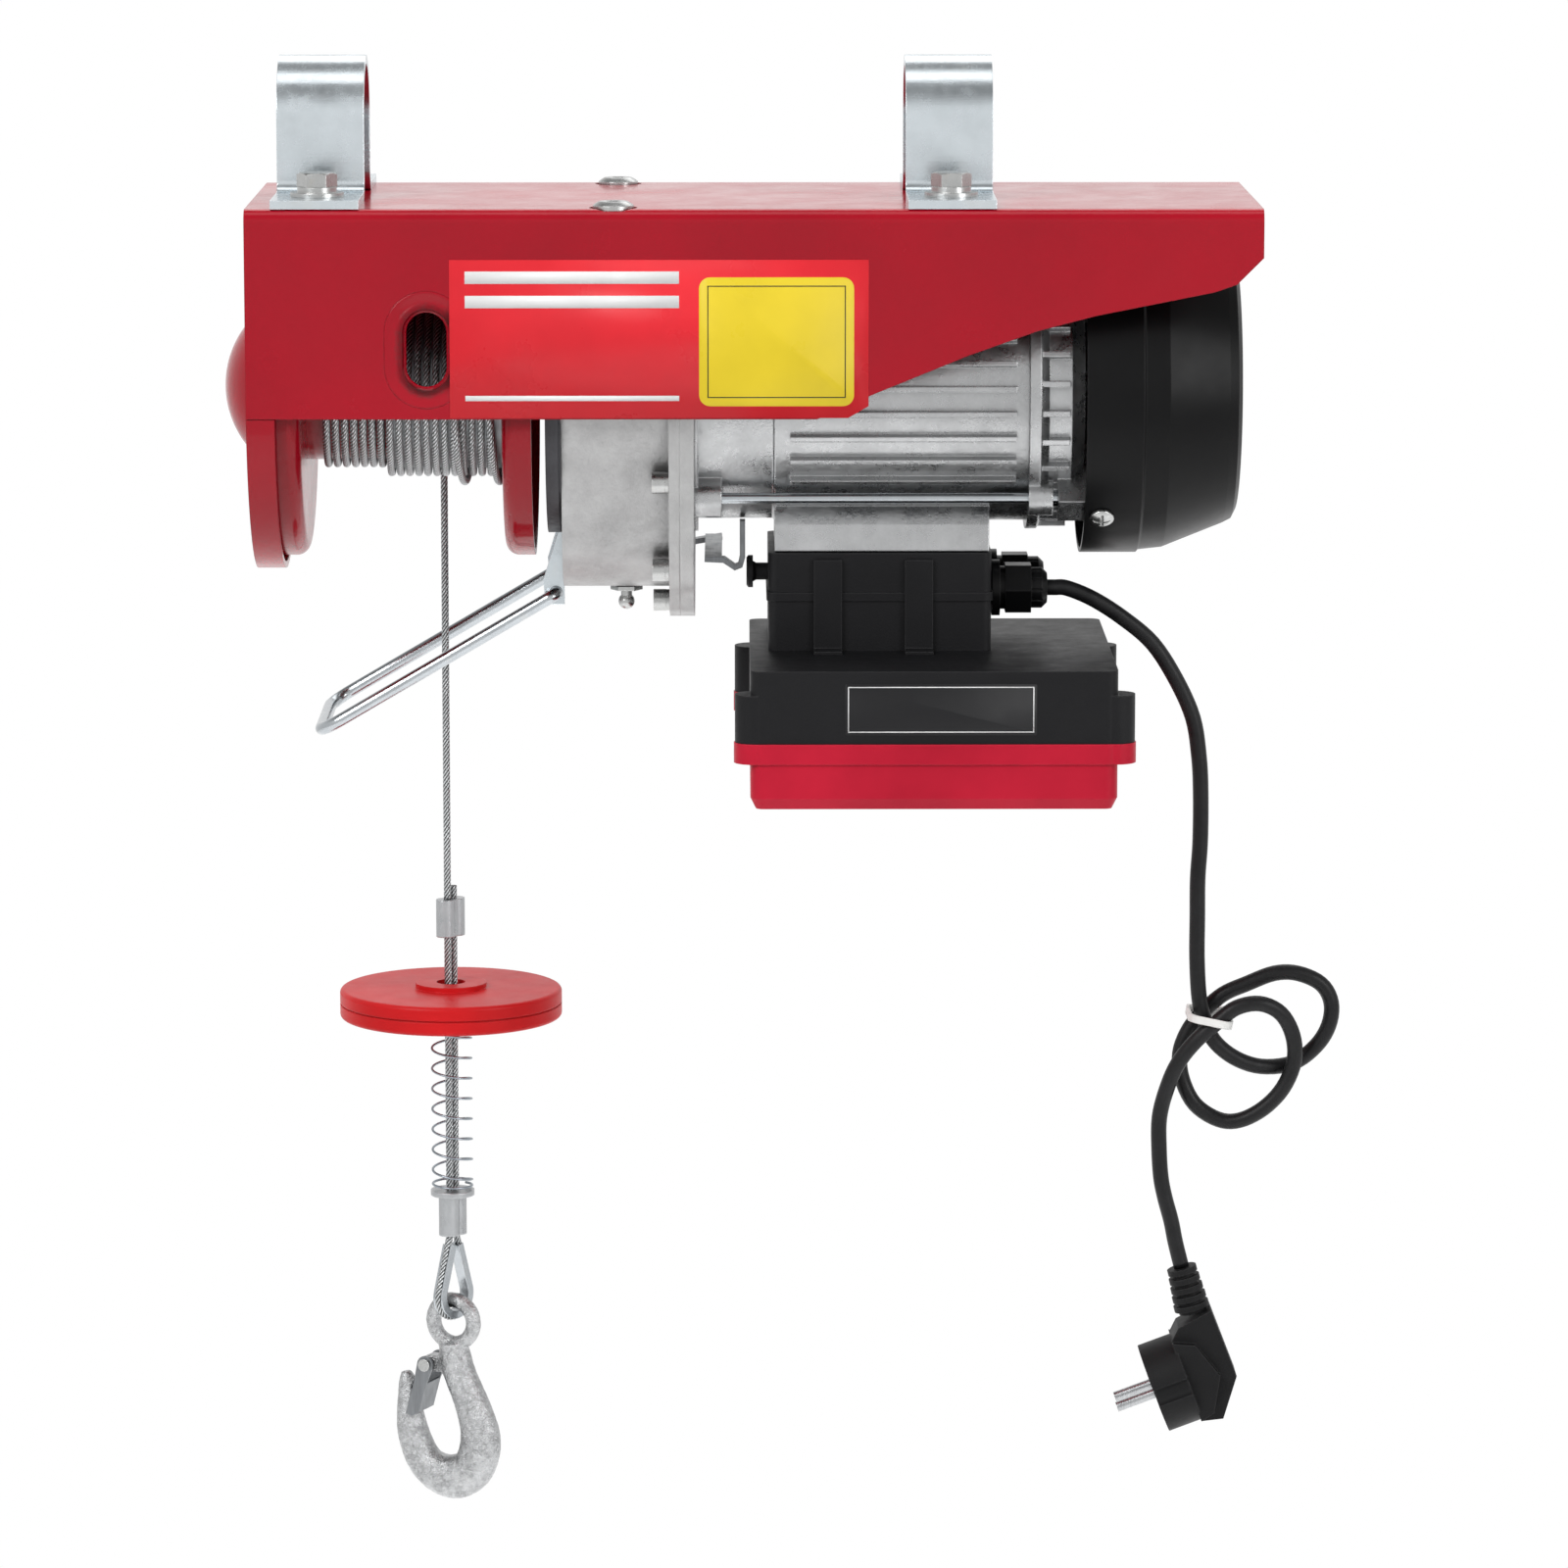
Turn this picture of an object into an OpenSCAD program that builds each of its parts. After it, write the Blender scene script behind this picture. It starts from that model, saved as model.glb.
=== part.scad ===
// Electric mini wire-rope hoist for hanging under a pipe.
// +X runs along the hoist towards the motor, +Y away from the switch side, +Z up.
// The origin is on the pipe's axis, midway between the two straps. Millimetres.

/* [Suspension] */
// Diameter of the pipe that the straps clamp
pipe_d = 50; // [40:1:60]
// Distance between the centres of the two straps
strap_span = 288.5; // [230:0.5:350]
// Width of a strap
strap_w = 40; // [30:1:50]
// Thickness of a strap
strap_t = 4; // [3:0.5:6]
// Distance from the centre line to a strap bolt
strap_bolt_y = 57; // [50:1:66]
// Thread of the strap bolts
strap_bolt_d = 10; // [8:1:12]

/* [Frame] */
// Height of the pipe's axis over the frame
pipe_rise = 36; // [30:1:44]
// Length of the frame channel
frame_len = 461; // [400:1:560]
// Width over the side walls
frame_w = 170; // [140:1:210]
// Height of the side walls
wall_h = 95; // [80:1:115]
// Sheet thickness
sheet_t = 3; // [2:0.5:4]
// Frame that stands out past the left strap
frame_overhang = 11.75; // [5:0.25:25]
// Length of the oval window in the side walls
window_l = 20; // [14:1:26]
// Height of the oval window
window_h = 35.5; // [26:0.5:42]

/* [Drum and rope] */
// Depth of the drum axis below the frame top
axis_drop = 88; // [84:1:106]
// Radius of the drum tube
drum_r = 34.5; // [30:0.5:40]
// Space between the two flanges
drum_w = 91.4; // [76:0.1:110]
// Length of the outward rims
rim_w = 11; // [8:0.5:13]
// Wire rope diameter
rope_d = 3.6; // [3:0.1:4.3]
// Gap between neighbouring turns
rope_gap = 0.6; // [0.5:0.05:1]
// Turns of the first layer that show
turns_low = 6.5; // [4:0.5:7]

/* [Gearbox] */
// Length of the case from the drum side to its flange
case_len = 49.4; // [42:0.2:60]
// Outer radius of the case around the drum axis
case_r = 62; // [58:0.5:64]
// Outer radius of the case around the layshaft
case_low_r = 47.5; // [46:0.5:52]
// Wall of the case
case_wall = 5; // [3:0.5:6]
// Thickness of the case flange
flange_t = 5; // [4:0.5:7]
// Thickness of the cover
cover_t = 6.6; // [5:0.2:9]
// Gear module
gear_m = 1.5; // [1.5:0.05:1.6]
// Teeth on a pinion
pinion_z = 11; // [11:1:12]
// Teeth on a wheel
wheel_z = 51; // [48:1:51]

/* [Motor] */
// Radius of the smooth housing
motor_r = 62; // [56:0.5:66]
// Length of the smooth neck
neck_len = 35.4; // [30:0.2:42]
// Length of the ribbed housing
ribbed_len = 116.6; // [100:0.2:140]
// Length of the end shield
shield_len = 25.4; // [21:0.2:31]
// Radius of the end shield
shield_r = 67; // [62:0.5:72]
// Radius of the fan cover
fan_cover_r = 78; // [70:0.5:84]
// Length of the fan cover
fan_cover_len = 72; // [60:0.5:86]
// Height of a rib
rib_h = 3.5; // [2:0.5:5]
// Tie rod offset from the axis in Y and Z
tie_off = 47.5; // [44:0.5:52]
// Tie rod diameter
tie_d = 5; // [4:0.5:6]

/* [Switch box and receiver] */
// Length of the switch box
box_l = 103; // [86:1:120]
// Width of the switch box
box_w = 84; // [70:1:100]
// Height of the switch box
box_h = 45.6; // [38:0.2:54]
// Length of the receiver
recv_l = 167; // [144:0.5:194]
// Width of the receiver
recv_w = 176; // [150:1:205]
// Height of the receiver cover
recv_cover_h = 33.4; // [28:0.2:40]
// Height of the receiver base
recv_base_h = 30.1; // [25:0.1:36]
// Wall of the boxes
box_wall = 2.5; // [2:0.25:3.5]

/* [Limit lever] */
// Bail wire diameter
bail_d = 6; // [5:0.5:7]
// Inner half width of the bail
bail_half = 44; // [40:0.5:50]
// Reach of the bail from its axle, along X
bail_reach = 110.6; // [95:0.2:118]
// Drop of the bail's bar below its axle
bail_drop = 65; // [55:0.5:75]

/* [Hook block] */
// Depth of the upper ferrule's top below the frame top
fall_len = 339; // [320:1:400]
// Diameter of the limit disc
disc_d = 106; // [88:1:110]
// Thickness of the limit disc
disc_t = 14; // [11:0.5:17]
// Outer diameter of the buffer spring
spring_d = 20; // [18:0.5:22]
// Wire of the buffer spring
spring_wire = 1.2; // [1:0.1:1.6]
// Free length of the buffer spring
spring_len = 85; // [70:1:100]
// Open curls of the buffer spring
spring_curls = 8; // [6:1:9]

/* [Hidden] */
$fn = 96;
fit_gap = 0.03;     // bearings and shafts
loose_gap = 0.25;   // bolts in their holes
turn_gap = 0.35;    // rope on the drum

// Levels and places of the frame
top_z = -pipe_rise;
half_w = frame_w / 2;
x_left = -(strap_span + strap_w) / 2 - frame_overhang;
x_right = x_left + frame_len;
axis_z = top_z - axis_drop;
bend_r = 2 * sheet_t;
wall_bottom = top_z - wall_h;
window_x = x_left + 82;
window_z = top_z - 63.5;
window_rim = 10;
joggle = 1.5;
strap_hole_x = strap_span / 2;

// Strap fasteners, stacked upwards from the strap's foot
strap_foot = half_w - 3;
washer_t = 2;
spring_washer_t = 2.5;
bolt_head_h = 6.5;
foot_top = top_z + strap_t;
head_z = foot_top + washer_t + spring_washer_t;
nut_h = 0.8 * strap_bolt_d;

// Drum, from left to right
rim_gap = 7.4;
flange_s = 2.6;
flange_r = half_w - sheet_t - 3;
rim_x0 = x_left + sheet_t + rim_gap;
flange_x0 = rim_x0 + rim_w;
rope_x0 = flange_x0 + flange_s;
rope_x1 = rope_x0 + drum_w;
rim_x1 = rope_x1 + flange_s + rim_w;
shaft_r = 10;
drum_wall = 3;
hub_w = 8;
rope_r = rope_d / 2;
pitch = rope_d + rope_gap;
low_r = drum_r + rope_r + turn_gap;
high_r = low_r + pitch;
cross_r = high_r + pitch;

// Gearbox, from left to right
collar_len = 7;
collar_r = case_r + 6.6;
cap_head_r = 5.1;
collar_x0 = rim_x1 + 6;
case_x0 = collar_x0 + collar_len;
case_x1 = case_x0 + case_len;
cover_x0 = case_x1 + flange_t;
cover_x1 = cover_x0 + cover_t;
adapter_t = 1.6;
head_t = 7;
boss_x = case_x0 + head_t + 2;
gear_dist = gear_m * (pinion_z + wheel_z) / 2;
lay_z = axis_z - gear_dist;
bolt_top_r = case_r + cap_head_r + 0.5;    // circle of the case bolts at the drum axis
bolt_low_r = case_low_r + 7;               // the same around the layshaft
flange_top_r = bolt_top_r + 5.9;
flange_low_r = bolt_low_r + 7;
lug_y = half_w - 13;
lug_w = 22;
lug_x = (case_x0 + case_x1) / 2;
drum_bearing = [21, shaft_r, 12];       // outer radius, bore radius, width
small_bearing = [14, 6, 8];
gear2_x = boss_x + 1.5;
gear2_w = 12;
gear1_x = gear2_x + gear2_w + 5;
gear1_w = 10;
lay_right_x = cover_x0 - small_bearing[2];
function on_top(a) = [bolt_top_r * cos(a), bolt_top_r * sin(a)];
function on_low(a) = [bolt_low_r * cos(a), bolt_low_r * sin(a) - gear_dist];
bolt_slope = (bolt_low_r - bolt_top_r) / gear_dist;
function on_side(z) = (bolt_top_r - bolt_slope * z) / sqrt(1 - bolt_slope * bolt_slope);
case_bolts = [                          // Y, Z from the drum axis
    on_low(-90), on_low(-40), on_low(-140), [on_side(-39), -39], [-on_side(-39), -39],
    on_top(10), on_top(170), on_top(55), on_top(125), on_top(90)];

// Motor, from left to right
motor_x0 = cover_x1 + adapter_t;
ribs_x0 = motor_x0 + neck_len;
shield_x0 = ribs_x0 + ribbed_len;
fan_x0 = shield_x0 + shield_len;
fan_x1 = fan_x0 + fan_cover_len;
motor_wall = 4;
core_x0 = ribs_x0 + 12;
core_len = 80;
rotor_r = 33;
shield_wall = 5;
cover_wall = 2.2;
tie_lug = 11;

// Switch box and receiver, from the top down
pad_z = axis_z - 73;
box_top = pad_z - 0.7;
box_seam = box_top - 18.3;
box_bottom = box_top - box_h;
box_x0 = motor_x0 + 32.4;
box_x1 = box_x0 + box_l;
gland_z = box_top - 18.9;
gland_y = [-20, 19];
recv_x0 = box_x0 - 8.5;
recv_x1 = recv_x0 + recv_l;
recv_y0 = -box_w / 2 - 66;
recv_y1 = recv_y0 + recv_w;
recv_lug_x = [recv_x0 + 2, recv_x1 - 1];
recv_lug_y = [recv_y0 + 9, recv_y1 - 9];
recv_mid = box_bottom - recv_cover_h;
recv_bottom = recv_mid - recv_base_h;
recv_lug_top = box_bottom - 11.4;
plunger_y = -16;
plunger_z = box_top - 11.7;
plunger_out = 10;

// Limit lever
bail_r = bail_d / 2;
axle_x = case_x0 - 4;
axle_z = lay_z - case_low_r - 4;
fall_y = cross_r;
bail_y = [fall_y - bail_half - bail_r, fall_y + bail_half + bail_r];
bail_len = sqrt(bail_reach * bail_reach + bail_drop * bail_drop);
bail_angle = atan2(bail_drop, bail_reach);
bail_corner = 12;
bail_bend = 4;
ear_t = 2;
arm_w = 8;
arm_t = 2.5;
arm_y = max(66, flange_low_r + 4.5);

// Rope fall and hook block
fall_x = rope_x0 + 60.3;
strand_off = rope_r + 0.3;
block_yaw = 50;
block_x = fall_x + strand_off * cos(block_yaw);
block_y = fall_y + strand_off * sin(block_yaw);
upper_top = top_z - fall_len;
ferrule_h = 18;
disc_top = upper_top - 43;
disc_bottom = disc_top - disc_t;
spring_r = (spring_d - spring_wire) / 2;
seat_z = disc_bottom - spring_len;
seat_t = 2.5;
lower_h = 19.5;
lower_z = seat_z - seat_t - lower_h;
thimble_r = 7.6;                 // inner radius of the thimble's bow
thimble_t = 1.3;                 // its wall under the rope
thimble_half = 2.8;              // half its width
bow_r = thimble_r + thimble_t + rope_r;
bow_z = lower_z - 30;
hook_yaw = -25;
eye_hole = 7;
eye_r = 10.75;                   // from the eye's centre to the middle of its ring
pivot_z = bow_z - 10;
eye_z = pivot_z - 3.2;
latch_pivot = [-11.8, -21];      // from the eye's centre, in the hook's plane

// Cord route from the gland, in round numbers
cord_d = 7.4;
cord_route = [
    [194, -20, -216.6], [200, -20, -217], [212, -20, -222], [226, -20, -231], [240, -20, -243],
    [251, -20, -260], [259, -20, -278], [262, -20, -296], [263, -20, -313], [263, -20, -336],
    [262, -20, -354], [262, -20, -373], [262, -20, -391], [263, -20, -409], [265, -20, -419],
    [270, -19, -431], [280, -17, -440], [293, -14, -445], [308, -11, -444], [319, -10.5, -436],
    [325, -10.5, -426], [326, -11, -415], [321, -11, -406], [310, -11, -401], [299, -11, -401],
    [286, -11, -406], [275, -11, -411], [266, -11, -419], [259, -11, -428], [255, -11, -439],
    [256, -12, -451], [262, -14, -463], [273, -16, -470], [283, -18, -470], [294, -19.5, -464],
    [303, -20.5, -454], [308, -21.5, -441], [307, -24, -428], [301, -27, -417], [291, -29, -412],
    [280, -29, -414], [271, -29, -421], [261, -29, -430], [253, -27, -441], [248, -24, -454],
    [245, -21, -468], [245, -20, -483], [246, -20, -497], [248, -20, -507], [251, -20, -518],
    [253, -20, -528], [256, -20, -540]];

// ---- Helpers -------------------------------------------------------------------------------

// Solid of revolution about the drum axis, from points [radius, x]
module turned(points) {
    translate([0, 0, axis_z])
        rotate([0, 90, 0])
            rotate_extrude()
                polygon(points);
}

// Cylinder along X from x0 to x1, centred on [y, z]
module rod_x(x0, x1, r, y = 0, z = axis_z) {
    translate([x0, y, z])
        rotate([0, 90, 0])
            cylinder(h = x1 - x0, r = r);
}

// Outline in the YZ plane, extruded along X from x0 to x1
module along_x(x0, x1) {
    translate([x0, 0, 0])
        rotate([90, 0, 90])
            linear_extrude(x1 - x0)
                children();
}

// Outline in the XZ plane, extruded along Y from y0 to y1
module along_y(y0, y1) {
    translate([0, y1, 0])
        rotate([90, 0, 0])
            linear_extrude(y1 - y0)
                children();
}

// Rectangle with round corners, from corner p to corner q
module round_rect(p, q, r) {
    translate([p[0] + r, p[1]])
        square([q[0] - p[0] - 2 * r, q[1] - p[1]]);
    translate([p[0], p[1] + r])
        square([q[0] - p[0], q[1] - p[1] - 2 * r]);
    for (x = [p[0] + r, q[0] - r], y = [p[1] + r, q[1] - r])
        translate([x, y])
            circle(r);
}

// Oval of width w and height h, with round ends
module oval(w, h) {
    square([w, h - w], center = true);
    for (s = [-1, 1])
        translate([0, s * (h - w) / 2])
            circle(w / 2);
}

// Two circles on one vertical line, joined by their tangents; the lower one is d below
module egg(r1, r2, d) {
    ny = (r2 - r1) / d;
    nx = sqrt(1 - ny * ny);
    s = 0.01;
    circle(r1);
    translate([0, -d])
        circle(r2);
    polygon([
        [nx * (r1 - s), ny * (r1 - s)], [nx * (r2 - s), ny * (r2 - s) - d],
        [-nx * (r2 - s), ny * (r2 - s) - d], [-nx * (r1 - s), ny * (r1 - s)]]);
}

// Hexagon head of width af across its flats
module hexagon(af) {
    circle(r = af / sqrt(3), $fn = 6);
}

// Tube along a list of points: one polyhedron of rings square to the path
function unit(v) = v / norm(v);
function tangent(p, i) =
    i == 0 ? unit(p[1] - p[0]) :
    i == len(p) - 1 ? unit(p[i] - p[i - 1]) :
    unit(unit(p[i + 1] - p[i]) + unit(p[i] - p[i - 1]));
// The side direction turns with the path, without twist
function carried(v, t) = unit(v - (v * t) * t);
function sides_of(p, v, i = 0, out = []) =
    i == len(p) ? out :
    let (u = carried(v, tangent(p, i))) sides_of(p, u, i + 1, concat(out, [u]));
module tube(p, r, n, side) {
    u = sides_of(p, side);
    points = [for (i = [0:len(p) - 1])
        let (t = tangent(p, i), w = cross(t, u[i]))
        for (k = [0:n - 1])
            p[i] + r * (cos(360 * k / n) * u[i] + sin(360 * k / n) * w)];
    walls = [for (i = [0:len(p) - 2], k = [0:n - 1])
        let (a = i * n + k, b = i * n + (k + 1) % n)
        each [[a, a + n, b + n], [a, b + n, b]]];
    start = [for (k = [1:n - 2]) [0, k, k + 1]];
    end = [for (k = [1:n - 2]) let (e = (len(p) - 1) * n) [e, e + k + 1, e + k]];
    polyhedron(points, concat(walls, start, end));
}

// Least distance between points of a path that lie over skip points apart
function least_gap(p, skip) =
    min([for (i = [0:len(p) - 1]) for (j = [i + skip:1:len(p) - 1]) norm(p[i] - p[j])]);

// ---- Frame and suspension ------------------------------------------------------------------

// Both sides of the mid-plane
module both_sides() {
    for (s = [0, 1])
        mirror([0, s, 0])
            children();
}

// U section with round bends, inset by the given amount
module channel_section(inset) {
    w = half_w - inset;
    r = bend_r - inset;
    translate([-w, wall_bottom])
        square([2 * w, wall_h - inset - r]);
    translate([r - w, wall_bottom])
        square([2 * (w - r), wall_h - inset]);
    for (s = [-1, 1])
        translate([s * (w - r), top_z - inset - r])
            circle(r);
}

// Side view of the channel: the walls sweep up towards the motor end
module wall_outline() {
    sweep = [[202, wall_h], [176, 83.5], [133, 66], [102, 55], [75, 48], [22, 37.5], [12, 34], [0, 22]];
    polygon(concat(
        [[x_left, top_z], [x_left, wall_bottom]],
        [for (p = sweep) [x_right - p[0], top_z - p[1]]],
        [[x_right, top_z]]));
}

module frame_channel() {
    color("#ac202e")
    difference() {
        union() {
            intersection() {
                along_x(x_left, x_right)
                    difference() {
                        channel_section(0);
                        channel_section(sheet_t);
                        translate([sheet_t - half_w, wall_bottom - 1])
                            square([frame_w - 2 * sheet_t, 2]);
                    }
                along_y(-half_w, half_w)
                    wall_outline();
            }
            both_sides()
                along_y(half_w - sheet_t - joggle, half_w - sheet_t)
                    translate([window_x, window_z])
                        oval(window_l + 2 * window_rim, window_h + 2 * window_rim);
        }
        // Pressed rims and oval windows
        both_sides() {
            along_y(half_w - joggle, half_w + 1)
                translate([window_x, window_z])
                    oval(window_l + 2 * window_rim - 2, window_h + 2 * window_rim - 2);
            along_y(half_w - 3 * sheet_t, half_w + 1)
                translate([window_x, window_z])
                    oval(window_l, window_h);
        }
        at_strap_bolts()
            translate([0, 0, top_z - 2 * sheet_t])
                cylinder(h = 3 * sheet_t, r = strap_bolt_d / 2 + loose_gap);
        // Shallow seats and holes of the gearbox screws
        both_sides()
            translate([lug_x, lug_y, top_z]) {
                translate([0, 0, -1])
                    cylinder(h = 2, r = 11);
                translate([0, 0, -2 * sheet_t])
                    cylinder(h = 3 * sheet_t, r = 4 + loose_gap);
            }
    }
}

module end_plate() {
    housing_end = rim_x0 + 6.6;
    color("#a81f2c")
    difference() {
        union() {
            along_x(x_left, x_left + sheet_t) {
                intersection() {
                    channel_section(sheet_t);
                    translate([-half_w, wall_bottom - 1])
                        square([frame_w, wall_h]);
                }
                round_bottom();
            }
            along_x(x_left, x_left + 13)
                difference() {
                    round_bottom();
                    translate([0, axis_z])
                        circle(half_w - sheet_t);
                }
            rod_x(x_left + sheet_t, housing_end, 28);
        }
        rod_x(x_left - 1, housing_end, shaft_r + 2);
        rod_x(housing_end - drum_bearing[2], housing_end + 1, drum_bearing[0] + fit_gap);
    }
}

// The part of the end plate that hangs below the side walls
module round_bottom() {
    intersection() {
        translate([0, axis_z])
            circle(half_w);
        translate([-half_w, axis_z - half_w])
            square([frame_w, wall_bottom - 0.3 - axis_z + half_w]);
    }
    // web between the wall bottom and the bend, between the walls
    translate([sheet_t - half_w, wall_bottom - 0.4])
        square([frame_w - 2 * sheet_t, 0.8]);
}

// Domed shell with a flat rim
module bearing_cap() {
    rise = 15;
    dome_r = 45;
    color("#b02430")
        translate([x_left, 0, axis_z])
            rotate([0, -90, 0]) {
                difference() {
                    intersection() {
                        translate([0, 0, rise - dome_r])
                            sphere(dome_r);
                        cylinder(h = rise + 1, r = 32);
                    }
                    intersection() {
                        translate([0, 0, rise - dome_r])
                            sphere(dome_r - 2.5);
                        translate([0, 0, -1])
                            cylinder(h = rise + 1, r = 29);
                    }
                }
                difference() {
                    cylinder(h = 2, r = 38);
                    translate([0, 0, -1])
                        cylinder(h = 4, r = 31);
                }
            }
}

// Omega section: an arch over the pipe, two legs and two feet
module strap_section() {
    r_in = pipe_d / 2;
    r_out = r_in + strap_t;
    fillet = 5;
    difference() {
        union() {
            circle(r_out);
            translate([-r_out, top_z])
                square([2 * r_out, pipe_rise]);
            translate([-strap_foot, top_z])
                square([2 * strap_foot, strap_t]);
            for (s = [0, 1])
                mirror([s, 0])
                    difference() {
                        translate([r_out - 1, foot_top - 1])
                            square(fillet + 1);
                        translate([r_out + fillet, foot_top + fillet])
                            circle(fillet);
                    }
        }
        circle(r_in);
        translate([-r_in, top_z - 1])
            square([2 * r_in, pipe_rise + 1]);
        for (s = [0, 1])
            mirror([s, 0])
                difference() {
                    translate([r_in - 1, top_z - 1])
                        square(fillet + strap_t + 1);
                    translate([r_out + fillet, foot_top + fillet])
                        circle(fillet + strap_t);
                    translate([r_out + fillet, top_z - 2])
                        square(2 * fillet);
                }
    }
}

module strap(side) {
    color("#c8d0d8")
    difference() {
        along_x(side * strap_hole_x - strap_w / 2, side * strap_hole_x + strap_w / 2)
            strap_section();
        at_strap_bolts()
            translate([0, 0, top_z - 1])
                cylinder(h = strap_t + 2, r = strap_bolt_d / 2 + loose_gap);
    }
}

module strap_left() {
    strap(-1);
}

module strap_right() {
    strap(1);
}

module at_strap_bolts() {
    for (x = [-1, 1], y = [-1, 1])
        translate([x * strap_hole_x, y * strap_bolt_y, 0])
            children();
}

// Hexagon prism with its upper corners turned off
module hex_head(af, h) {
    intersection() {
        linear_extrude(h)
            hexagon(af);
        union() {
            cylinder(h = h - 1, r = af);
            translate([0, 0, h - 1])
                cylinder(h = 1, r1 = af / sqrt(3), r2 = af / 2 - 0.3);
        }
    }
}

module strap_bolts() {
    af = 1.6 * strap_bolt_d;
    shank = head_z - top_z + sheet_t + nut_h + 4;
    nut_z = top_z - sheet_t - nut_h;
    color("#b8bcc0")
    at_strap_bolts() {
        translate([0, 0, head_z])
            hex_head(af, bolt_head_h);
        translate([0, 0, head_z - shank])
            cylinder(h = shank + 0.5, r = strap_bolt_d / 2);
        translate([0, 0, nut_z])
            difference() {
                linear_extrude(nut_h)
                    hexagon(af);
                translate([0, 0, -1])
                    cylinder(h = nut_h + 2, r = strap_bolt_d / 2 + fit_gap);
            }
    }
}

// Flat washers, and split spring washers over them
module strap_washers() {
    bore = strap_bolt_d / 2 + loose_gap;
    color("#c4c9ce")
    at_strap_bolts() {
        translate([0, 0, foot_top])
            difference() {
                cylinder(h = washer_t, r = 12.2);
                translate([0, 0, -1])
                    cylinder(h = washer_t + 2, r = bore);
            }
        translate([0, 0, foot_top + washer_t])
            difference() {
                cylinder(h = spring_washer_t, r = 9);
                translate([0, 0, -1])
                    cylinder(h = spring_washer_t + 2, r = bore);
                translate([0, 0, spring_washer_t / 2])
                    rotate([30, 0, 0])
                        cube([24, 0.8, 12], center = true);
            }
    }
}

module gearbox_mount_screws() {
    color("#b4b8bc")
    both_sides()
        translate([lug_x, lug_y, top_z - 1]) {
            difference() {
                intersection() {
                    cylinder(h = 4, r = 9.3);
                    translate([0, 0, -9])
                        sphere(r = 14.5);
                }
                translate([0, 0, 1])
                    linear_extrude(4)
                        hexagon(6);
            }
            translate([0, 0, -22])
                cylinder(h = 22.5, r = 4);
        }
}

// ---- Gearbox -------------------------------------------------------------------------------

// Outline of the gearbox around both gear axes
module gearbox_outline(r_top, r_low) {
    translate([0, axis_z])
        egg(r_top, r_low, gear_dist);
}

module at_case_bolts() {
    for (b = case_bolts)
        translate([0, b[0], axis_z + b[1]])
            children();
}

module gearbox_case() {
    lug = [[36, 42], [58, 12], [lug_y + 7, 45], [lug_y + 7, axis_drop - sheet_t],
           [lug_y - 9, axis_drop - sheet_t], [lug_y - 9, 60]];
    color("#a9abac")
    difference() {
        union() {
            difference() {
                union() {
                    along_x(case_x0, case_x1 + 1)
                        gearbox_outline(case_r, case_low_r);
                    along_x(case_x1, cover_x0)
                        gearbox_outline(flange_top_r, flange_low_r);
                    both_sides()
                        along_x(lug_x - lug_w / 2, lug_x + lug_w / 2)
                            translate([0, axis_z])
                                polygon(lug);
                }
                along_x(case_x0 + head_t, cover_x0 + 1)
                    gearbox_outline(case_r - case_wall, case_low_r - case_wall);
            }
            rod_x(case_x0 + 1, boss_x, 26);
            rod_x(case_x0 + 1, boss_x, 18, 0, lay_z);
        }
        rod_x(case_x0 - 1, boss_x + 1, drum_bearing[0] + fit_gap);
        rod_x(boss_x - small_bearing[2], boss_x + 1, small_bearing[0] + fit_gap, 0, lay_z);
        at_case_bolts()
            rotate([0, 90, 0])
                translate([0, 0, case_x1 - 1])
                    cylinder(h = flange_t + 2, r = 3 + loose_gap);
        both_sides()
            translate([lug_x, lug_y, top_z - sheet_t - 24])
                cylinder(h = 25, r = 4 + fit_gap);
        // Threaded hole of the grease nipple
        translate([case_x0 + 29, 0, lay_z - case_low_r - 1])
            cylinder(h = case_wall + 3, r = 3);
    }
}

module gearbox_collar() {
    bearing_x = boss_x - drum_bearing[2];
    color("#3a3a3c")
    difference() {
        rod_x(collar_x0, case_x0, collar_r);
        rod_x(collar_x0 - 1, case_x0 + 1, shaft_r + 1);
        rod_x(bearing_x, case_x0 + 1, drum_bearing[0] + fit_gap);
        // Groove round the edge
        translate([0, 0, axis_z])
            rotate([0, 90, 0])
                rotate_extrude()
                    translate([collar_r - 1.5, case_x0 - 1])
                        square([3, 2]);
    }
}

module gearbox_cover() {
    bearing_x = cover_x0 - 4;
    color("#b0b2b3")
    difference() {
        union() {
            along_x(cover_x0, cover_x1)
                gearbox_outline(flange_top_r, flange_low_r);
            rod_x(bearing_x, cover_x0 + 1, 19);
            rod_x(lay_right_x, cover_x0 + 1, 18, 0, lay_z);
        }
        rod_x(bearing_x - 1, bearing_x + small_bearing[2], small_bearing[0] + fit_gap);
        rod_x(bearing_x, cover_x1 + 1, small_bearing[1] + 1);
        rod_x(lay_right_x - 1, cover_x0, small_bearing[0] + fit_gap, 0, lay_z);
        at_case_bolts()
            rotate([0, 90, 0])
                translate([0, 0, cover_x0 - 1])
                    cylinder(h = cover_t + 2, r = 3 + fit_gap);
        for (y = [-1, 1], z = [-1, 1])
            rod_x(cover_x0 + 2, cover_x1 + 1, tie_d / 2 + fit_gap, y * tie_off, axis_z + z * tie_off);
    }
}

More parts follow.
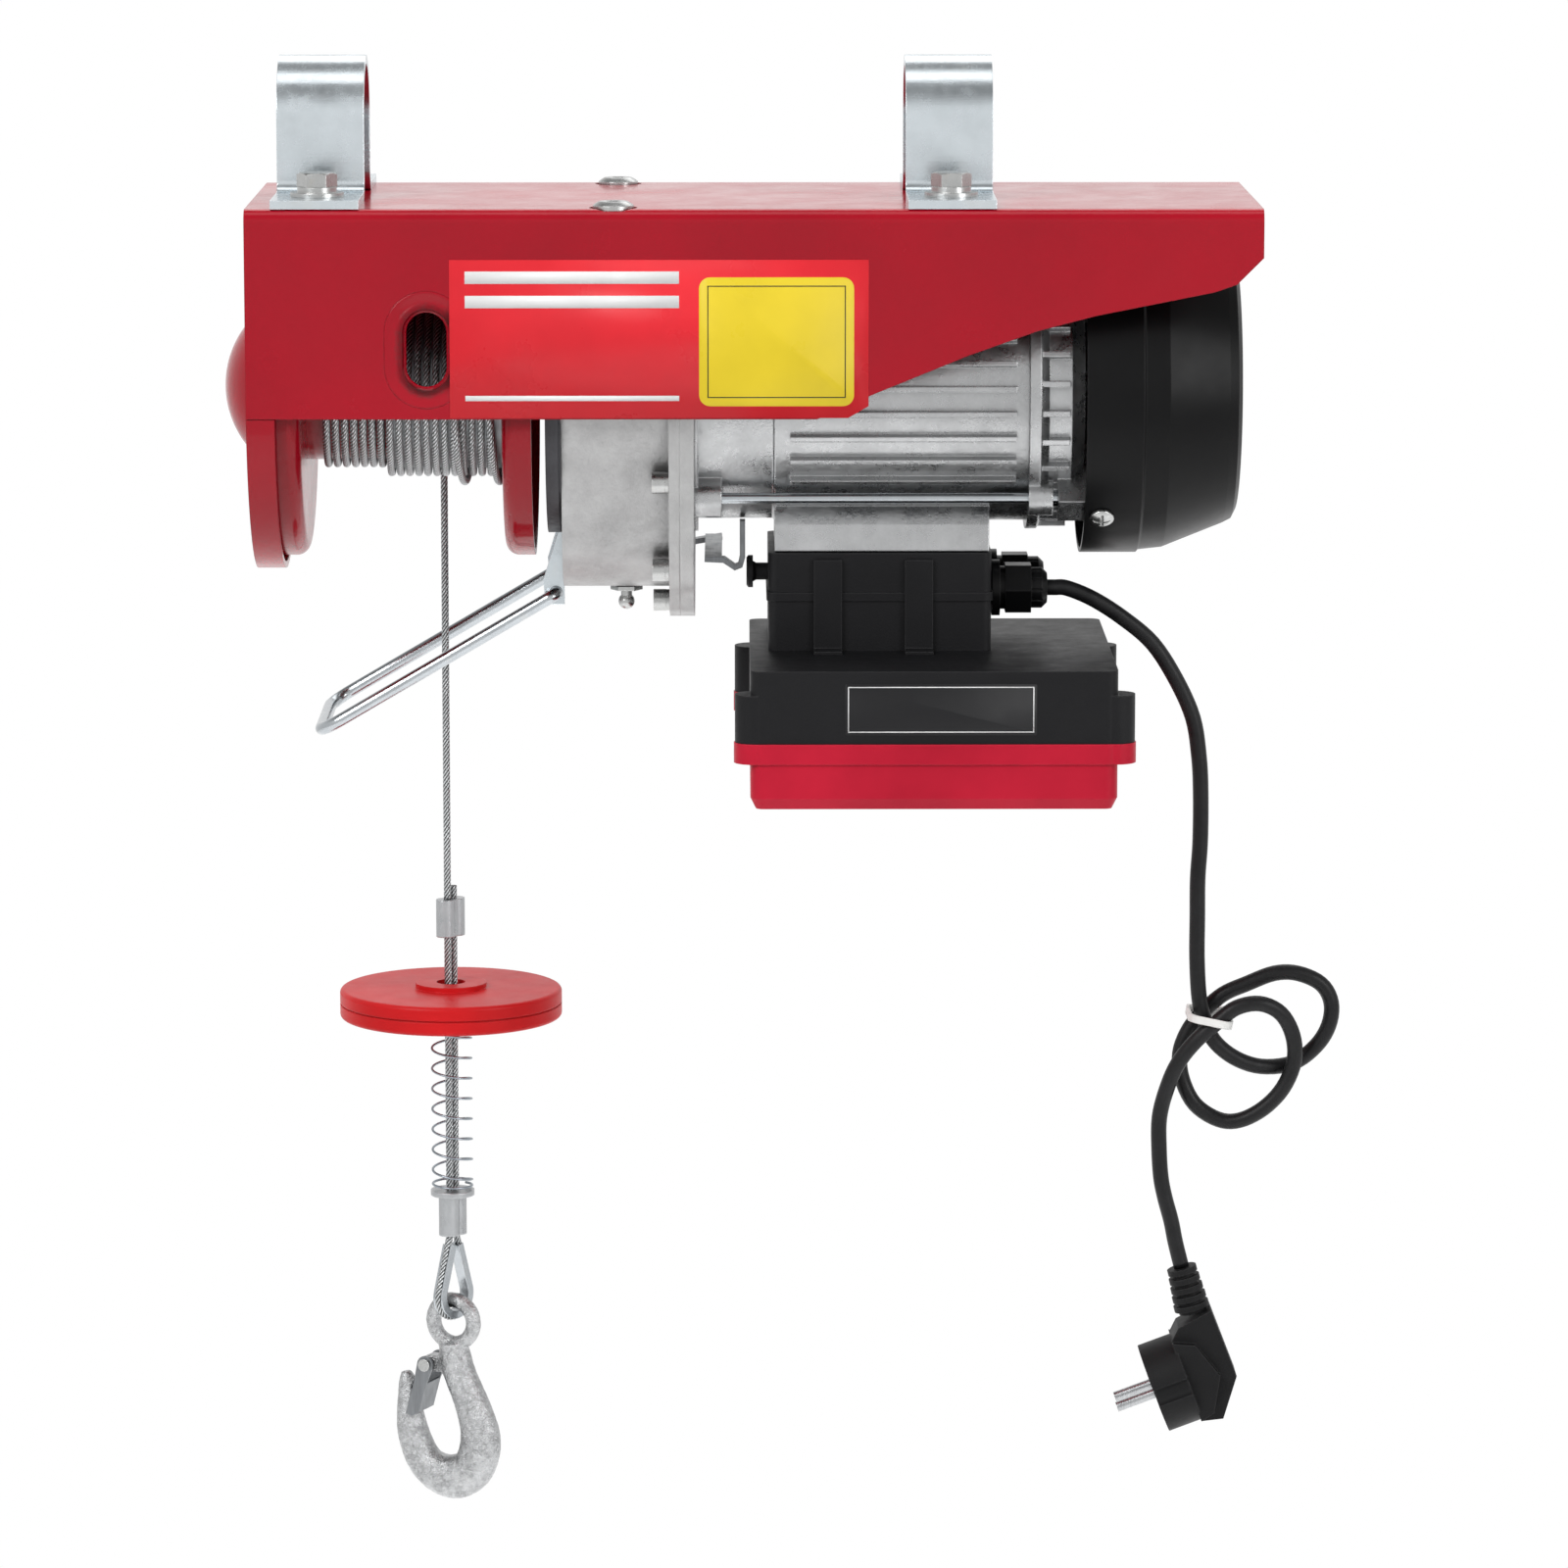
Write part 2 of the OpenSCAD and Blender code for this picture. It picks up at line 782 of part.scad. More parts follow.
// Socket cap screws from the drum side, with spring washers
module case_screws() {
    head_h = 6;
    washer_h = 1.8;
    head_x = case_x1 - washer_h - head_h;
    color("#c9ccce")
    at_case_bolts()
        rotate([0, 90, 0]) {
            translate([0, 0, head_x])
                difference() {
                    cylinder(h = head_h, r = cap_head_r);
                    translate([0, 0, -1])
                        linear_extrude(head_h / 2 + 1)
                            hexagon(5);
                }
            translate([0, 0, head_x + head_h])
                difference() {
                    cylinder(h = washer_h, r = cap_head_r - 0.1);
                    translate([0, -0.4, -1])
                        cube([8, 0.8, washer_h + 2]);
                }
            translate([0, 0, head_x + head_h])
                cylinder(h = cover_x1 - case_x1 + washer_h - 0.5, r = 3);
        }
}

// Hexagon base, neck and ball
module grease_nipple() {
    color("#c6c2b8")
    translate([case_x0 + 29, 0, lay_z - case_low_r]) {
        cylinder(h = case_wall, r = 2.9);
        translate([0, 0, -2])
            linear_extrude(2)
                hexagon(13);
        translate([0, 0, -7])
            cylinder(h = 5.5, r = 2.6);
        translate([0, 0, -7.5])
            sphere(r = 3.8);
    }
}

// ---- Bearings and gears --------------------------------------------------------------------

// Ball bearing with shield grooves; its size is [outer radius, bore radius, width]
module bearing(x, size, z = axis_z) {
    mid = (size[0] + size[1]) / 2;
    translate([x, 0, z])
        rotate([0, 90, 0])
            difference() {
                cylinder(h = size[2], r = size[0]);
                translate([0, 0, -1])
                    cylinder(h = size[2] + 2, r = size[1] + fit_gap);
                for (g = [-0.5, size[2] - 0.5])
                    translate([0, 0, g])
                        difference() {
                            cylinder(h = 1, r = mid + 2);
                            translate([0, 0, -1])
                                cylinder(h = 3, r = mid - 2);
                        }
            }
}

module drum_bearings() {
    color("#8d9194") {
        bearing(rim_x0 + 6.6 - drum_bearing[2], drum_bearing);
        bearing(boss_x - drum_bearing[2], drum_bearing);
    }
}

module layshaft_bearings() {
    color("#8d9194") {
        bearing(boss_x - small_bearing[2], small_bearing, lay_z);
        bearing(lay_right_x, small_bearing, lay_z);
    }
}

module motor_bearings() {
    color("#8d9194") {
        bearing(cover_x0 - 4, small_bearing);
        bearing(shield_x0 + 8, small_bearing);
    }
}

// Spur gear outline: each flank is three points on the involute, with the backlash taken off
pressure_angle = 25;
backlash = 0.3;
function involute_angle(r, base) = r <= base ? 0 :
    let (roll = sqrt(r * r / (base * base) - 1)) roll * 180 / PI - atan(roll);
function gear_outline(z) =
    let (
        pitch_r = gear_m * z / 2,
        base = pitch_r * cos(pressure_angle),
        root = pitch_r - 1.25 * gear_m,
        half = 90 / z - backlash / pitch_r * 45 / PI + involute_angle(pitch_r, base),
        flank = [for (r = [max(root, base), pitch_r, pitch_r + 0.95 * gear_m])
            [r, half - involute_angle(r, base)]],
        rising = root < base ? concat([[root, half]], flank) : flank,
        n = len(rising) - 1)
    [for (k = [0:z - 1]) each concat(
        [for (p = rising) p[0] * [cos(360 * k / z - p[1]), sin(360 * k / z - p[1])]],
        [for (i = [0:n]) let (p = rising[n - i])
            p[0] * [cos(360 * k / z + p[1]), sin(360 * k / z + p[1])]])];

// Gear from x, w wide; a tooth points along +Z where turn is 0
module gear(x, w, teeth, turn, z = axis_z) {
    translate([x, 0, z])
        rotate([0, 90, 0])
            rotate(180 + turn)
                linear_extrude(w)
                    polygon(gear_outline(teeth));
}

module drum_gear() {
    color("#8a8c8e")
    difference() {
        gear(gear2_x, gear2_w, wheel_z, 180);
        rod_x(gear2_x - 1, gear2_x + gear2_w + 1, shaft_r);
    }
}

// Layshaft with the wheel of the first stage and the pinion of the second
module layshaft() {
    x0 = boss_x - small_bearing[2] + 0.2;
    x1 = cover_x0 - 0.2;
    color("#94979a") {
        rod_x(x0, x1, small_bearing[1], 0, lay_z);
        gear(gear2_x, gear2_w, pinion_z, 180 / pinion_z, lay_z);
        gear(gear1_x, gear1_w, wheel_z, 180 / wheel_z, lay_z);
        rod_x(gear2_x + gear2_w - 0.5, gear1_x + 0.5, gear_m * (pinion_z / 2 - 1.4), 0, lay_z);
    }
}

// ---- Drum ----------------------------------------------------------------------------------

// Flange with a rim that turns away from the rope; dir is 1 where the rope lies at larger x
module drum_flange(x, dir) {
    bend = 6;
    in = bend - flange_s;
    translate([x, 0, axis_z])
        rotate([0, 90, 0])
            mirror([0, 0, dir > 0 ? 0 : 1])
                rotate_extrude()
                    difference() {
                        union() {
                            square([flange_r - bend, flange_s]);
                            translate([flange_r - bend, flange_s - bend])
                                circle(bend);
                            translate([flange_r - bend, -rim_w])
                                square([bend, rim_w + flange_s - bend]);
                        }
                        translate([flange_r - bend, flange_s - bend])
                            circle(in);
                        translate([flange_r - 2 * bend, -rim_w - 1])
                            square([2 * bend - flange_s, rim_w + 1 + flange_s - bend]);
                        translate([flange_r - 3 * bend, -rim_w - 1])
                            square([2 * bend, rim_w + 1]);
                    }
}

module drum() {
    color("#6c6f73")
    difference() {
        union() {
            drum_flange(flange_x0, 1);
            drum_flange(rope_x1 + flange_s, -1);
            rod_x(rope_x0 - 1, rope_x1 + 1, drum_r);
        }
        rod_x(rope_x0 + hub_w, rope_x1 - hub_w, drum_r - drum_wall);
        rod_x(flange_x0 - 1, rim_x1 + 1, shaft_r);
    }
}

module drum_shaft() {
    color("#9b9ea1")
        rod_x(x_left + 1.5, gear2_x + gear2_w, shaft_r);
}

// The buried layer, as one plain ring
climb_x = rope_x0 + rope_r * 2 + 3 + pitch * turns_low;
module rope_core() {
    color("#77797b")
    difference() {
        rod_x(climb_x + 4.3, rope_x1, drum_r + pitch - 0.1);
        rod_x(climb_x, rope_x1 + 1, drum_r);
    }
}

// Rope path: the angle runs down to zero, where the rope leaves the drum downwards
climb_turns = 0.5;
back_turns = 1.75;
turns_high = floor(2 * ((rope_x1 - rope_r - 0.3 - climb_x) / pitch - 1)) / 2;
high_x1 = climb_x + pitch * (climb_turns + turns_high);
wound_turns = turns_low + 2 * climb_turns + turns_high + back_turns;
function ease(a, b, t) = a + (b - a) * max(0, min(1, t));
function wound_radius(t) =
    t < turns_low ? low_r :
    t < turns_low + climb_turns ? ease(low_r, high_r, (t - turns_low) / climb_turns) :
    t < turns_low + climb_turns + turns_high ? high_r :
    ease(high_r, cross_r, (t - turns_low - climb_turns - turns_high) / climb_turns);
function wound_x(t) =
    let (start = climb_x - pitch * turns_low, top = turns_low + climb_turns + turns_high)
    t < top ? start + pitch * t :
    t < top + climb_turns ? high_x1 + pitch * (t - top) :
    ease(high_x1 + pitch * climb_turns, fall_x, (t - top - climb_turns) / back_turns);
function wound_point(t) =
    let (a = 360 * (wound_turns - t), r = wound_radius(t))
    [wound_x(t), r * cos(a), axis_z + r * sin(a)];
loop_rings = 24;
wound_path = let (
        first = wound_point(0),
        n = round(wound_turns * loop_rings))
    concat(
        [[rope_x0, first[1], first[2]], [rope_x0 + rope_d, first[1], first[2]]],
        [for (i = [1:n]) wound_point(i * wound_turns / n)],
        [[fall_x, fall_y, axis_z - rope_d]]);

module rope_winding() {
    color("#7d8082")
        tube(wound_path, rope_r, 6, [0, 1, 0]);
}
echo(least_gap_of_winding = least_gap(wound_path, 8) - rope_d);

// ---- Motor ---------------------------------------------------------------------------------

// Rib along X with round ends, standing h over radius r at the given angle
module rib(x0, x1, r, angle, h, w = 2.4) {
    translate([0, 0, axis_z])
        rotate([angle, 0, 0])
            translate([0, -w / 2, r - 1])
                rotate([90, 0, 90])
                    translate([0, 0, x0])
                        linear_extrude(x1 - x0)
                            square([w, h + 1]);
}

module motor_housing() {
    rib_step = 10.2;
    pad_slope = 8;
    color("#aeb0b2")
    difference() {
        union() {
            turned([[0, motor_x0 - adapter_t], [motor_r + 6, motor_x0 - adapter_t],
                [motor_r + 6, motor_x0], [motor_r, motor_x0], [motor_r, ribs_x0 - 1],
                [motor_r + 1, ribs_x0], [motor_r + 1, shield_x0], [0, shield_x0]]);
            // None under the tie rods
            for (a = [-55:rib_step:56], s = [0, 1])
                if (abs(abs(a) - 45) > 6)
                    mirror([0, s, 0])
                        rib(ribs_x0 + 7, shield_x0 - 6, motor_r + 1, 90 + a, rib_h);
            for (a = [-2:2])
                rib(ribs_x0 + 7, shield_x0 - 6, motor_r + 1, a * rib_step, rib_h);
            // Terminal pad, tapered to the housing
            along_x(ribs_x0, ribs_x0 + box_l - 4)
                polygon([[-box_w / 2 + 2, pad_z], [box_w / 2 - 2, pad_z], [box_w / 2 - 4, pad_z + 12],
                    [box_w / 2 - 4 - pad_slope, axis_z - 40], [pad_slope + 4 - box_w / 2, axis_z - 40],
                    [4 - box_w / 2, pad_z + 12]]);
            // Lugs of the tie rods
            for (y = [-1, 1], z = [-1, 1])
                along_x(motor_x0 - adapter_t, motor_x0 + tie_lug)
                    translate([y * tie_off, axis_z + z * tie_off])
                        union() {
                            circle(8.5);
                            rotate(atan2(-z, -y))
                                translate([0, -8])
                                    square([14, 16]);
                        }
        }
        for (y = [-1, 1], z = [-1, 1])
            rod_x(motor_x0 - 2 * adapter_t, motor_x0 + tie_lug + 1, tie_d / 2 + fit_gap,
                y * tie_off, axis_z + z * tie_off);
        rod_x(motor_x0 - 2 * adapter_t, shield_x0 + 1, motor_r - motor_wall);
        // Wire way from the stator into the switch box
        translate([ribs_x0 + 30, 0, pad_z - 1])
            cylinder(h = motor_r - motor_wall, r = 9);
    }
}

module motor_end_shield() {
    fin_h = 9;
    hub_r = 20;
    color("#b2b4b6")
    difference() {
        union() {
            turned([[0, shield_x0], [shield_r, shield_x0], [shield_r, shield_x0 + shield_wall],
                [shield_r - 5, shield_x0 + 9], [shield_r - 5, fan_x0 - 6], [shield_r - 10, fan_x0],
                [0, fan_x0]]);
            for (a = [0:12:359])
                rib(shield_x0 + shield_wall, fan_x0 - 7, shield_r - 6, a, 5, 2.6);
            for (y = [-1, 1], z = [-1, 1])
                rod_x(shield_x0, shield_x0 + tie_lug, 8, y * tie_off, axis_z + z * tie_off);
            // Lugs under the fan cover
            for (a = [45:90:359])
                translate([0, 0, axis_z])
                    rotate([a, 0, 0])
                        translate([fan_x0 - 12, -7, shield_r - 14])
                            cube([26, 14, fan_cover_r - cover_wall - 0.8 - shield_r + 14]);
        }
        // Hollow behind the windings, and inside the fan side
        turned([[hub_r, shield_x0 - 1], [shield_r - 10, shield_x0 - 1], [shield_r - 10, shield_x0 + 8],
            [hub_r, shield_x0 + 8]]);
        turned([[hub_r, shield_x0 + 13], [shield_r - 13, shield_x0 + 13], [shield_r - 13, fan_x0 + 20],
            [hub_r, fan_x0 + 20]]);
        turned([[0, shield_x0 + 17], [hub_r + 1, shield_x0 + 17], [hub_r + 1, fan_x0 + 20],
            [0, fan_x0 + 20]]);
        rod_x(shield_x0 - 1, fan_x0 + 1, small_bearing[1] + 1.5);
        rod_x(shield_x0 + 8, shield_x0 + 18, small_bearing[0] + fit_gap);
        for (y = [-1, 1], z = [-1, 1])
            rod_x(shield_x0 - 1, shield_x0 + tie_lug + 4, tie_d / 2 + fit_gap,
                y * tie_off, axis_z + z * tie_off);
        for (a = [45:90:359])
            translate([fan_x0 + 8, 0, axis_z])
                rotate([a, 0, 0])
                    cylinder(h = fan_cover_r, r = 2.5 + fit_gap);
    }
}

// Laminated ring with slots, and the windings past both its ends
module stator() {
    ring_r = motor_r - motor_wall;
    color("#7a5a3a")
    difference() {
        union() {
            rod_x(core_x0, core_x0 + core_len, ring_r);
            rod_x(core_x0 - 10, core_x0 + core_len + 10, ring_r - 9);
        }
        rod_x(core_x0 - 11, core_x0 + core_len + 11, rotor_r + 0.5);
        for (a = [0:30:359])
            translate([core_x0 - 11, 0, axis_z])
                rotate([a, 0, 0])
                    translate([0, -2, rotor_r - 1])
                        cube([core_len + 22, 4, 6]);
    }
}

// Rotor with its shaft and the pinion of the first stage
module rotor() {
    color("#9a9da0") {
        rod_x(gear1_x - 2, fan_x0 + 40, small_bearing[1]);
        gear(gear1_x, gear1_w, pinion_z, 180);
        rod_x(core_x0, core_x0 + core_len, rotor_r);
    }
}

// Hub, back disc and straight blades
module cooling_fan() {
    fan_r = 58;
    fan_x = fan_x0 + 24;
    color("#2c2c2e")
    difference() {
        union() {
            rod_x(fan_x, fan_x + 14, 13);
            rod_x(fan_x, fan_x + 2, fan_r - 12);
            for (a = [0:45:359])
                translate([fan_x, 0, axis_z])
                    rotate([a, 0, 0])
                        translate([0, -1, 10])
                            cube([16, 2, fan_r - 10]);
        }
        rod_x(fan_x - 1, fan_x + 20, small_bearing[1]);
    }
}

module tie_rods() {
    color("#c5c8ca")
    for (y = [-1, 1], z = [-1, 1])
        rod_x(cover_x0 + 2.5, shield_x0 + tie_lug + 3, tie_d / 2, y * tie_off, axis_z + z * tie_off);
}

// Thin cup with a stepped rim and a grille in its end
module fan_cover() {
    step_x = fan_x0 + 27;
    mid_x = fan_x0 + 38;
    end_r = 10;
    tail_r = fan_cover_r - 13.5;
    color("#262628")
    difference() {
        turned([[0, fan_x0], [fan_cover_r, fan_x0], [fan_cover_r, step_x - 1],
            [fan_cover_r - 1.2, step_x], [fan_cover_r - 2.4, mid_x], [tail_r, fan_x1 - 6],
            [tail_r - 2, fan_x1 - 2], [tail_r - 6, fan_x1], [0, fan_x1]]);
        turned([[0, fan_x0 - 1], [fan_cover_r - cover_wall, fan_x0 - 1],
            [fan_cover_r - cover_wall, step_x - 1], [fan_cover_r - 1.2 - cover_wall, step_x],
            [fan_cover_r - 2.4 - cover_wall, mid_x], [tail_r - cover_wall - 1, fan_x1 - 7],
            [tail_r - cover_wall - 4, fan_x1 - cover_wall], [0, fan_x1 - cover_wall]]);
        // Three rings of slots between spokes
        for (k = [0:2])
            along_x(fan_x1 - 2 * cover_wall, fan_x1 + 1)
                translate([0, axis_z])
                    difference() {
                        circle(20 + 12 * k + 7);
                        circle(20 + 12 * k);
                        for (a = [0:45:179])
                            rotate(a)
                                square([200, 4], center = true);
                    }
        for (a = [45:90:359])
            translate([fan_x0 + 8, 0, axis_z])
                rotate([a, 0, 0])
                    cylinder(h = fan_cover_r + 5, r = 2.5 + loose_gap);
    }
}

module fan_cover_screws() {
    color("#9a9c9e")
    for (a = [45:90:359])
        translate([fan_x0 + 8, 0, axis_z])
            rotate([a, 0, 0]) {
                translate([0, 0, fan_cover_r - 12])
                    cylinder(h = 12.5, r = 2.5);
                translate([0, 0, fan_cover_r + 0.2])
                    difference() {
                        intersection() {
                            cylinder(h = 4, r = 5.5);
                            translate([0, 0, -4.5])
                                sphere(r = 8);
                        }
                        translate([-4, -0.6, 2.3])
                            cube([8, 1.2, 3]);
                        translate([-0.6, -4, 2.3])
                            cube([1.2, 8, 3]);
                    }
            }
}

// ---- Switch box ----------------------------------------------------------------------------

// Box shell with round vertical edges, open at its top or bottom
module box_shell(p, q, z0, z1, r, floor_at_top) {
    t = box_wall;
    difference() {
        translate([0, 0, z0])
            linear_extrude(z1 - z0)
                round_rect(p, q, r);
        translate([0, 0, floor_at_top ? z0 - 1 : z0 + t])
            linear_extrude(z1 - z0 - t + 1)
                round_rect([p[0] + t, p[1] + t], [q[0] - t, q[1] - t], r - t / 2);
    }
}

module switch_box_base() {
    color("#2a2a2c")
    difference() {
        box_shell([box_x0, -box_w / 2], [box_x1, box_w / 2], box_seam, box_top, 4, true);
        gland_holes();
        // Guide of the plunger
        rod_x(box_x0 - 1, box_x0 + box_wall + 1, 4 + loose_gap, plunger_y, plunger_z);
        translate([ribs_x0 + 30, 0, box_top - 2 * box_wall])
            cylinder(h = 3 * box_wall, r = 9);
    }
}

module switch_box_cover() {
    color("#242426")
    difference() {
        union() {
            box_shell([box_x0, -box_w / 2], [box_x1, box_w / 2], box_bottom, box_seam, 4, false);
            // Raised band round the seam
            translate([0, 0, box_seam - 4])
                linear_extrude(4)
                    difference() {
                        round_rect([box_x0 - 0.8, -box_w / 2 - 0.8], [box_x1 + 0.8, box_w / 2 + 0.8], 4.5);
                        round_rect([box_x0 + 1, -box_w / 2 + 1], [box_x1 - 1, box_w / 2 - 1], 3);
                    }
        }
        gland_holes();
    }
}

module gland_holes() {
    for (y = gland_y)
        rod_x(box_x1 - 2 * box_wall, box_x1 + 5, 8 + loose_gap, y, gland_z);
}

module capacitor() {
    color("#d8d8d4")
        rod_x(box_x0 + 12, box_x0 + 70, 13, 20, box_bottom + box_wall + 13.1);
}

// Flange, thread, hexagon and dome nut, with the cord's bore
module gland(y, bore) {
    color("#2e2e30")
    difference() {
        union() {
            rod_x(box_x1 + 0.8, box_x1 + 4.5, 13, y, gland_z);
            rod_x(box_x1 - box_wall - 4, box_x1 + 1, 8, y, gland_z);
            rod_x(box_x1 + 4, box_x1 + 8, 10, y, gland_z);
            translate([box_x1 + 7, y, gland_z])
                rotate([0, 90, 0])
                    linear_extrude(12)
                        rotate(30)
                            hexagon(22);
            rod_x(box_x1 + 18, box_x1 + 24, 9.5, y, gland_z);
            translate([box_x1 + 24, y, gland_z])
                rotate([0, 90, 0])
                    cylinder(h = 2.5, r1 = 9.5, r2 = 7);
        }
        rod_x(box_x1 + (bore > 0 ? 24 : 26), box_x1 + 30, max(bore, 4), y, gland_z);
        translate([0, y, gland_z])
            for (a = [0:30:359])
                rotate([a, 0, 0])
                    translate([box_x1 + 19, -0.6, 8.9])
                        cube([5, 1.2, 2]);
    }
}

module power_gland() {
    gland(gland_y[0], cord_d / 2 + 0.4);
}

module spare_gland() {
    gland(gland_y[1], 0);
}

// Mushroom button of the limit switch, pointing at the trip arm
module limit_plunger() {
    stem = plunger_out;
    travel_room = 8;
    color("#1e1e20")
        translate([box_x0 - stem, plunger_y, plunger_z])
            rotate([0, 90, 0]) {
                cylinder(h = stem + travel_room, r = 4);
                intersection() {
                    translate([0, 0, 12 - 1.8])
                        sphere(r = 12);
                    cylinder(h = 3, r = 7.5);
                }
                cylinder(h = 4.5, r1 = 6.5, r2 = 4);
            }
}

// ---- Receiver ------------------------------------------------------------------------------

module at_receiver_lugs() {
    for (x = recv_lug_x, y = recv_lug_y)
        translate([x, y, 0])
            children();
}

module receiver_clips() {
    clip_w = 13;
    t = 1.5;
    off = box_w / 2 + 0.8;
    color("#2c2c2e")
    both_sides()
        for (x = [box_x0 + 21, box_x0 + 63])
            along_x(x, x + clip_w) {
                translate([off, box_bottom])
                    square([t, box_h - 3]);
                translate([off, box_bottom])
                    square([12, t]);
            }
}

module receiver_cover() {
    color("#222224")
    difference() {
        union() {
            difference() {
                box_shell([recv_x0, recv_y0], [recv_x1, recv_y1], recv_mid, box_bottom, 5, true);
                translate([0, 0, recv_mid - 1])
                    linear_extrude(recv_cover_h - box_wall + 1)
                        round_rect([recv_x0 + box_wall, recv_y0 + box_wall],
                            [recv_x1 - box_wall, recv_y1 - box_wall], 4);
            }
            at_receiver_lugs()
                translate([0, 0, recv_mid])
                    cylinder(h = recv_lug_top - recv_mid, r = 9);
        }
        at_receiver_lugs()
            translate([0, 0, recv_mid - 1])
                cylinder(h = 14, r = 2 + fit_gap);
    }
}

// Bowl of the base, with softened lower edges
module base_bowl(chamfer) {
    hull()
        for (x = [recv_x0 + 6, recv_x1 - 6], y = [recv_y0 + 6, recv_y1 - 6]) {
            translate([x, y, recv_bottom + chamfer])
                cylinder(h = recv_base_h - chamfer - 1, r = 6, $fn = 32);
            translate([x, y, recv_bottom])
                cylinder(h = chamfer, r = 6 - chamfer / 2, $fn = 32);
        }
}

module receiver_base() {
    band_h = 9.3;
    chamfer = 5;
    color("#c32d3e")
    difference() {
        union() {
            difference() {
                union() {
                    translate([0, 0, recv_mid - band_h])
                        linear_extrude(band_h)
                            round_rect([recv_x0 - 1, recv_y0 - 1], [recv_x1 + 1, recv_y1 + 1], 6);
                    base_bowl(chamfer);
                }
                translate([0, 0, recv_bottom + box_wall + 1])
                    linear_extrude(recv_base_h)
                        round_rect([recv_x0 + box_wall + 1, recv_y0 + box_wall + 1],
                            [recv_x1 - box_wall - 1, recv_y1 - box_wall - 1], 4);
            }
            at_receiver_lugs()
                translate([0, 0, recv_mid - band_h])
                    cylinder(h = band_h, r = 9.5);
        }
        at_receiver_lugs() {
            translate([0, 0, recv_mid - band_h - 1])
                cylinder(h = band_h + 2, r = 2 + loose_gap);
            translate([0, 0, recv_mid - band_h - 1])
                cylinder(h = 4, r = 4.5);
        }
        translate([recv_x0 + 25, recv_y0 + 60, recv_bottom - 1])
            cylinder(h = box_wall + 3, r = 9 + fit_gap);
    }
}

module receiver_screws() {
    color("#b0b3b6")
    at_receiver_lugs()
        translate([0, 0, recv_mid - 6.3]) {
            translate([0, 0, -2.8])
                difference() {
                    cylinder(h = 2.8, r = 4.1);
                    translate([-3, -0.5, -1])
                        cube([6, 1, 2.2]);
                    translate([-0.5, -3, -1])
                        cube([1, 6, 2.2]);
                }
            cylinder(h = 17, r = 2);
        }
}

// Circuit board on the floor of the base, with relays, a coil and terminals
module receiver_board() {
    board_z = recv_bottom + box_wall + 1;
    color("#2f6b3c") {
        translate([recv_x0 + 12, recv_y0 + 75, board_z])
            cube([recv_l - 24, recv_w - 90, 1.6]);
        for (k = [0:3])
            translate([recv_x0 + 22 + 32 * k, recv_y0 + 85, board_z + 1.6])
                cube([19, 15, 15]);
        for (k = [0:5])
            translate([recv_x0 + 20 + 20 * k, recv_y1 - 34, board_z + 1.6])
                cube([14, 10, 11]);
        translate([recv_x0 + 60, recv_y0 + 120, board_z + 1.6])
            cylinder(h = 22, r = 9);
    }
}

module indicator_dome() {
    color("#e8e8ea")
        translate([recv_x0 + 25, recv_y0 + 60, recv_bottom]) {
            intersection() {
                translate([0, 0, 3.5])
                    sphere(r = 12);
                translate([0, 0, -9])
                    cylinder(h = 9, r = 11.5);
            }
            cylinder(h = 5, r = 9);
        }
}

// ---- Limit lever ---------------------------------------------------------------------------

// Flat strip of thickness t along a path
function normal(p, i) =
    let (d = tangent(p, i)) [-d[1], d[0]];
module ribbon(p, t) {
    polygon(concat(
        [for (i = [0:len(p) - 1]) p[i] + t / 2 * normal(p, i)],
        [for (i = [len(p) - 1:-1:0]) p[i] - t / 2 * normal(p, i)]));
}

module bail_bracket() {
    plate_top = axis_z - collar_r - 0.5;
    plate_low = lay_z - case_low_r + 2;
    near = bail_y[0] + bail_bend + 1;
    far = bail_y[1] - bail_bend - 1;
    color("#bccad6")
    difference() {
        union() {
            translate([case_x0 - ear_t, near, plate_low])
                cube([ear_t, far - near, plate_top - plate_low]);
            for (y = [near, far - ear_t])
                along_y(y, y + ear_t)
                    polygon([[case_x0, plate_top], [case_x0, plate_low], [axle_x + 4, axle_z - 5.5],
                        [axle_x - 5, axle_z - 5.5], [axle_x - 6, axle_z + 6], [case_x0 - 3, plate_top]]);
        }
        translate([axle_x, 0, axle_z])
            rotate([-90, 0, 0])
                cylinder(h = far + 1, r = bail_r + 0.1);
    }
}

// Closed loop of wire: axle, two legs and a bar
module limit_bail() {
    inner = bail_corner;
    span = bail_y[1] - bail_y[0];
    color("#c3ccd6")
    translate([axle_x, bail_y[0], axle_z])
        rotate([0, -bail_angle, 0])
            translate([-bail_len, 0, 0]) {
                for (y = [0, span])
                    translate([inner, y, 0])
                        rotate([0, 90, 0])
                            cylinder(h = bail_len - inner - bail_bend, r = bail_r);
                translate([0, inner, 0])
                    rotate([-90, 0, 0])
                        cylinder(h = span - 2 * inner, r = bail_r);
                translate([bail_len, bail_bend, 0])
                    rotate([-90, 0, 0])
                        cylinder(h = span - 2 * bail_bend, r = bail_r);
                wire_bend([inner, inner], inner, 180);
                wire_bend([inner, span - inner], inner, 90);
                wire_bend([bail_len - bail_bend, bail_bend], bail_bend, 270);
                wire_bend([bail_len - bail_bend, span - bail_bend], bail_bend, 0);
            }
}

// Quarter bend of the bail's wire about c, starting at the given angle
module wire_bend(c, r, start) {
    translate([c[0], c[1], 0])
        rotate(start)
            rotate_extrude(angle = 90)
                translate([r, 0])
                    circle(bail_r);
}

